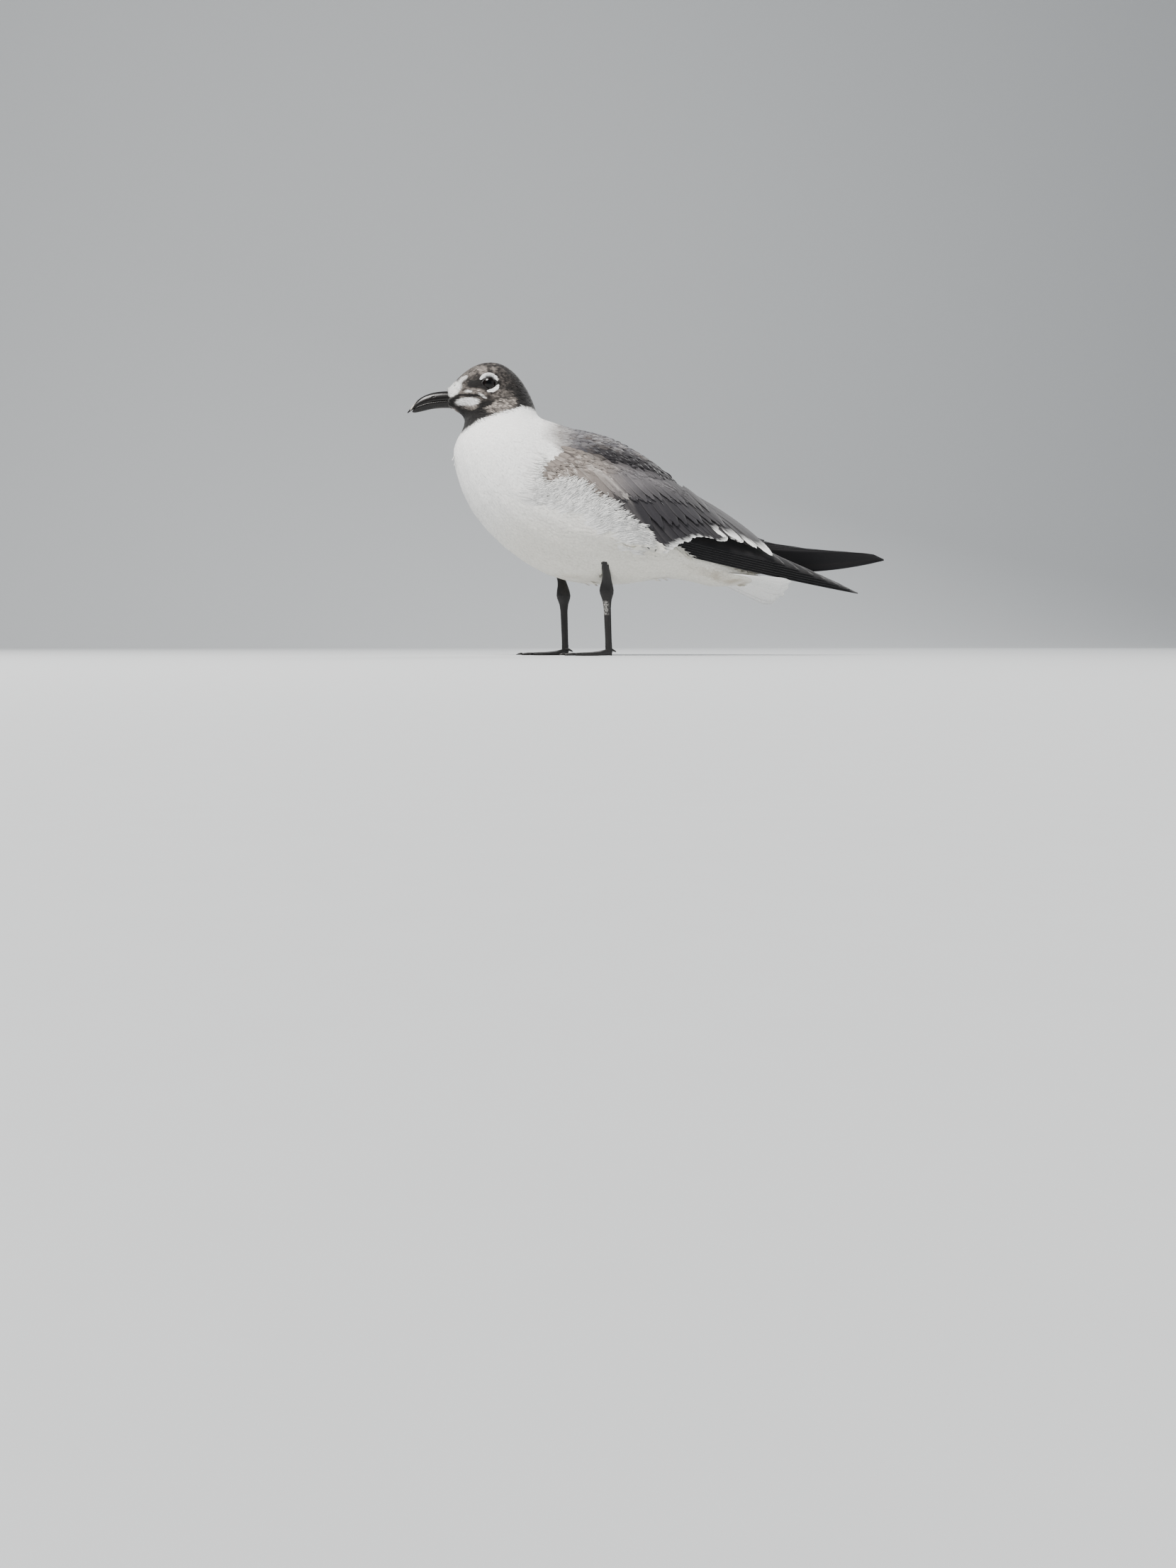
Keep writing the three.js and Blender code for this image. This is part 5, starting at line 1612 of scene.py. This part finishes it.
def sectionsBetween(start, end, y, side, table, splay=((0, 0, 0), (1, 0, 0))):
    shares, outwards, ahead = zip(*splay)
    return [(start[0] + (end[0] - start[0]) * t + np.interp(t, shares, ahead),
             y + side * np.interp(t, shares, outwards), start[1] + (end[1] - start[1]) * t, deep, wide)
            for t, deep, wide in table]


def toePlace(footX, side, turn, run):  # x and y at a run in mm along a toe that turns out by that angle
    return footX - run * math.cos(turn), side * (legSettings["side"] + run * math.sin(turn))


def buildToe(footX, side, turn, length, settings):
    sections = [
        (*toePlace(footX, side, turn, t * length), max(height, settings["least"]), girth * settings["radius"],
         max(height, settings["least"])) for t, height, girth in settings["girth"]]
    sections = scuted(sections, settings["scuteMm"], settings["scuteLip"], 0)
    sections = [(*s[:4], min(s[4], s[2])) for s in sections]
    return drawOut("toe", sections, settings["sides"], "x", scalySkin)


def buildClaw(name, footX, side, turn, length, settings):
    sections = []
    for t, height, girth in settings["sections"]:
        run = length + (t * settings["length"]) - settings["overlap"]
        height = max(height, settings["least"])
        sections.append((*toePlace(footX, side, turn, run), height, girth, min(girth, height)))
    nail = drawOut("nail_" + name, sections, settings["sides"], "x", clawHorn)
    finishPiece(nail, 1, ["claw_" + name])


def buildWeb(footX, side, first, settings):  # one sheet of web between two toes, with a scalloped edge
    bpy.ops.object.select_all(action="DESELECT")
    bpy.ops.mesh.primitive_grid_add(
        x_subdivisions=settings["cuts"], y_subdivisions=settings["cuts"], size=1, location=(0, 0, 0))
    web = nameAdded("web")
    angles, reach = toeSettings["angles"], toeSettings["reach"]
    for vertex in web.data.vertices:
        u, v = vertex.co.x + 0.5, vertex.co.y + 0.5
        angle = math.radians(angles[first] + (angles[first + 1] - angles[first]) * v)
        far = reach[first] + (reach[first + 1] - reach[first]) * v
        far = toeSettings["length"] * settings["reach"] * far
        far *= 1 - settings["notch"] * 4 * v * (1 - v)
        run = settings["root"] + (far - settings["root"]) * u
        fold = settings["fold"] * math.sin(v * settings["folds"][0] + u * settings["folds"][1]) * u
        height = settings["height"] + fold + settings["rootLift"] * (1 - u) ** 2
        vertex.co = at(*toePlace(footX, side, angle, run), height)
    web.data.update()
    web.data.materials.append(scalySkin)
    with editing(web):
        bpy.ops.mesh.normals_make_consistent(inside=False)
    applyModifier(web, "SOLIDIFY", thickness=settings["thick"] * mm, offset=0.0)
    return web


def buildLeg(sideName, side, settings):
    one = settings[sideName]
    footX, y = one["foot"], side * settings["side"]
    splay = [(t, outwards * one["lean"], ahead) for t, outwards, ahead in settings["splay"]]
    shin = sectionsBetween(one["knee"], one["ankle"], y, side, settings["shin"], splay)
    shank = sectionsBetween(one["ankle"], (footX, settings["footTop"]), y, side, settings["shank"])
    plated = scuted(shank, settings["scuteMm"], settings["scuteLip"], 2)
    skinHere = flecked if side < 0 else scalySkin
    pieces = [drawOut("legSkin_" + sideName, shin[:-1] + plated, settings["sides"], "z", skinHere)]
    for toeIndex, (angle, reach) in enumerate(zip(toeSettings["angles"], toeSettings["reach"]), 1):
        turn, length = math.radians(angle), toeSettings["length"] * reach
        pieces.append(buildToe(footX, side, turn, length, toeSettings))
        buildClaw(f"{sideName}_{toeIndex}", footX, side, turn, length, clawSettings)
    inner = side * (settings["side"] - toeSettings["hindIn"])
    hind = [(footX + behind, inner, *rest) for behind, *rest in toeSettings["hind"]]
    pieces.append(drawOut("hindToe", hind, toeSettings["sides"], "x", scalySkin))
    pieces += [buildWeb(footX, side, first, webSettings) for first in (0, 1)]
    select(*pieces)
    bpy.ops.object.join()
    finishPiece(bpy.context.object, 1, ["tibia_" + sideName, "tarsus_" + sideName, "foot_" + sideName])


for sideName, side in wingSides.items():
    buildLeg(sideName, side, legSettings)

# ---- stage, light and camera

stageSettings = {
    "floor": "#c9cbcc", "roughness": 0.9, "specular": 0.2, "rollerScale": 220.0, "roller": (0.985, 1.015),
    "floorHalf": 4.0, "backdropAt": 2.4, "backdropHeight": 3.2, "bend": 0.9,
}


def paintedBoard(name, settings):  # matt emulsion on board: even, with a barely seen roller texture
    paint = Paint(name)
    grain = paint.ranged(paint.noise(paint.place(), settings["rollerScale"]), 0, 1, *settings["roller"])
    return paint.finish({
        "Base Color": paint.scaled(tuple(linear(settings["floor"])), grain),
        "Roughness": settings["roughness"], "Specular IOR Level": settings["specular"]})


def buildStage(settings):
    bpy.ops.object.select_all(action="DESELECT")
    bpy.ops.mesh.primitive_plane_add(size=2 * settings["floorHalf"], location=(0, 0, 0))
    floor = nameAdded("studioFloor")

    def ends(edge):
        return [floor.data.vertices[v].co for v in edge.vertices]

    openWith(floor, "EDGE", lambda edge: min(end.y for end in ends(edge)) > settings["floorHalf"] - 0.01)
    bpy.ops.transform.translate(value=(0, settings["backdropAt"] - settings["floorHalf"], 0))
    bpy.ops.mesh.extrude_region_move(TRANSFORM_OT_translate={"value": (0, 0, settings["backdropHeight"])})
    bpy.ops.object.mode_set(mode="OBJECT")
    openWith(floor, "EDGE", lambda edge: all(
        abs(end.y - settings["backdropAt"]) < 0.01 and end.z < 0.01 for end in ends(edge)))
    bpy.ops.mesh.bevel(offset=settings["bend"], segments=16, affect="EDGES")
    bpy.ops.object.mode_set(mode="OBJECT")
    floor.data.materials.append(paintedBoard("matEmulsion", settings))
    bpy.ops.object.shade_smooth()


lights = {
    "key": {"at": (-0.9, -0.9, 1.9), "size": 0.9, "watts": 98, "colour": (1.0, 0.98, 0.95)},
    "fill": {"at": (1.6, -1.2, 0.7), "size": 1.6, "watts": 5, "colour": (0.92, 0.96, 1.0)},
    "rim": {"at": (0.7, 1.3, 1.3), "size": 0.8, "watts": 14, "colour": (1.0, 1.0, 1.0)},
}
airSettings = {"colour": (0.80, 0.86, 0.95, 1), "strength": 0.35, "aim": (0, 0, 0.12)}


def buildLights(settings, air):
    for name, one in settings.items():
        lamp = bpy.data.lights.new(name, "AREA")
        lamp.size = one["size"]
        lamp.energy = one["watts"]
        lamp.color = one["colour"]
        holder = bpy.data.objects.new(name, lamp)
        bpy.context.scene.collection.objects.link(holder)
        holder.location = one["at"]
        holder.rotation_euler = (Vector(air["aim"]) - Vector(one["at"])).to_track_quat("-Z", "Y").to_euler()
    world = bpy.data.worlds.new("studioAir")
    bpy.context.scene.world = world
    world.use_nodes = True
    background = world.node_tree.nodes["Background"].inputs
    background["Color"].default_value = air["colour"]
    background["Strength"].default_value = air["strength"]


# The camera stands low on the bird's left, a little ahead of it, and looks a little down and aside.
cameraSettings = {
    "distance": 1.4, "azimuth": -10, "height": 0.012, "aimX": 41.5, "down": 4.92, "turn": 2.11, "lens": 38.1,
    "clipStart": 0.01,
}


def buildCamera(settings):
    data = bpy.data.cameras.new("view")
    data.lens = settings["lens"]
    data.clip_start = settings["clipStart"]
    camera = bpy.data.objects.new("view", data)
    bpy.context.scene.collection.objects.link(camera)
    azimuth = math.radians(settings["azimuth"])
    target = toFrame([settings["aimX"], 0, 0])
    back = Vector((math.sin(azimuth), -math.cos(azimuth), 0))
    camera.location = Vector(target) + back * settings["distance"] + Vector((0, 0, settings["height"]))
    heading = azimuth + math.radians(settings["turn"])
    camera.rotation_euler = (math.radians(90 - settings["down"]), 0, heading)
    bpy.context.scene.camera = camera


buildStage(stageSettings)
buildLights(lights, airSettings)
buildCamera(cameraSettings)
print("stage, light and camera are set")
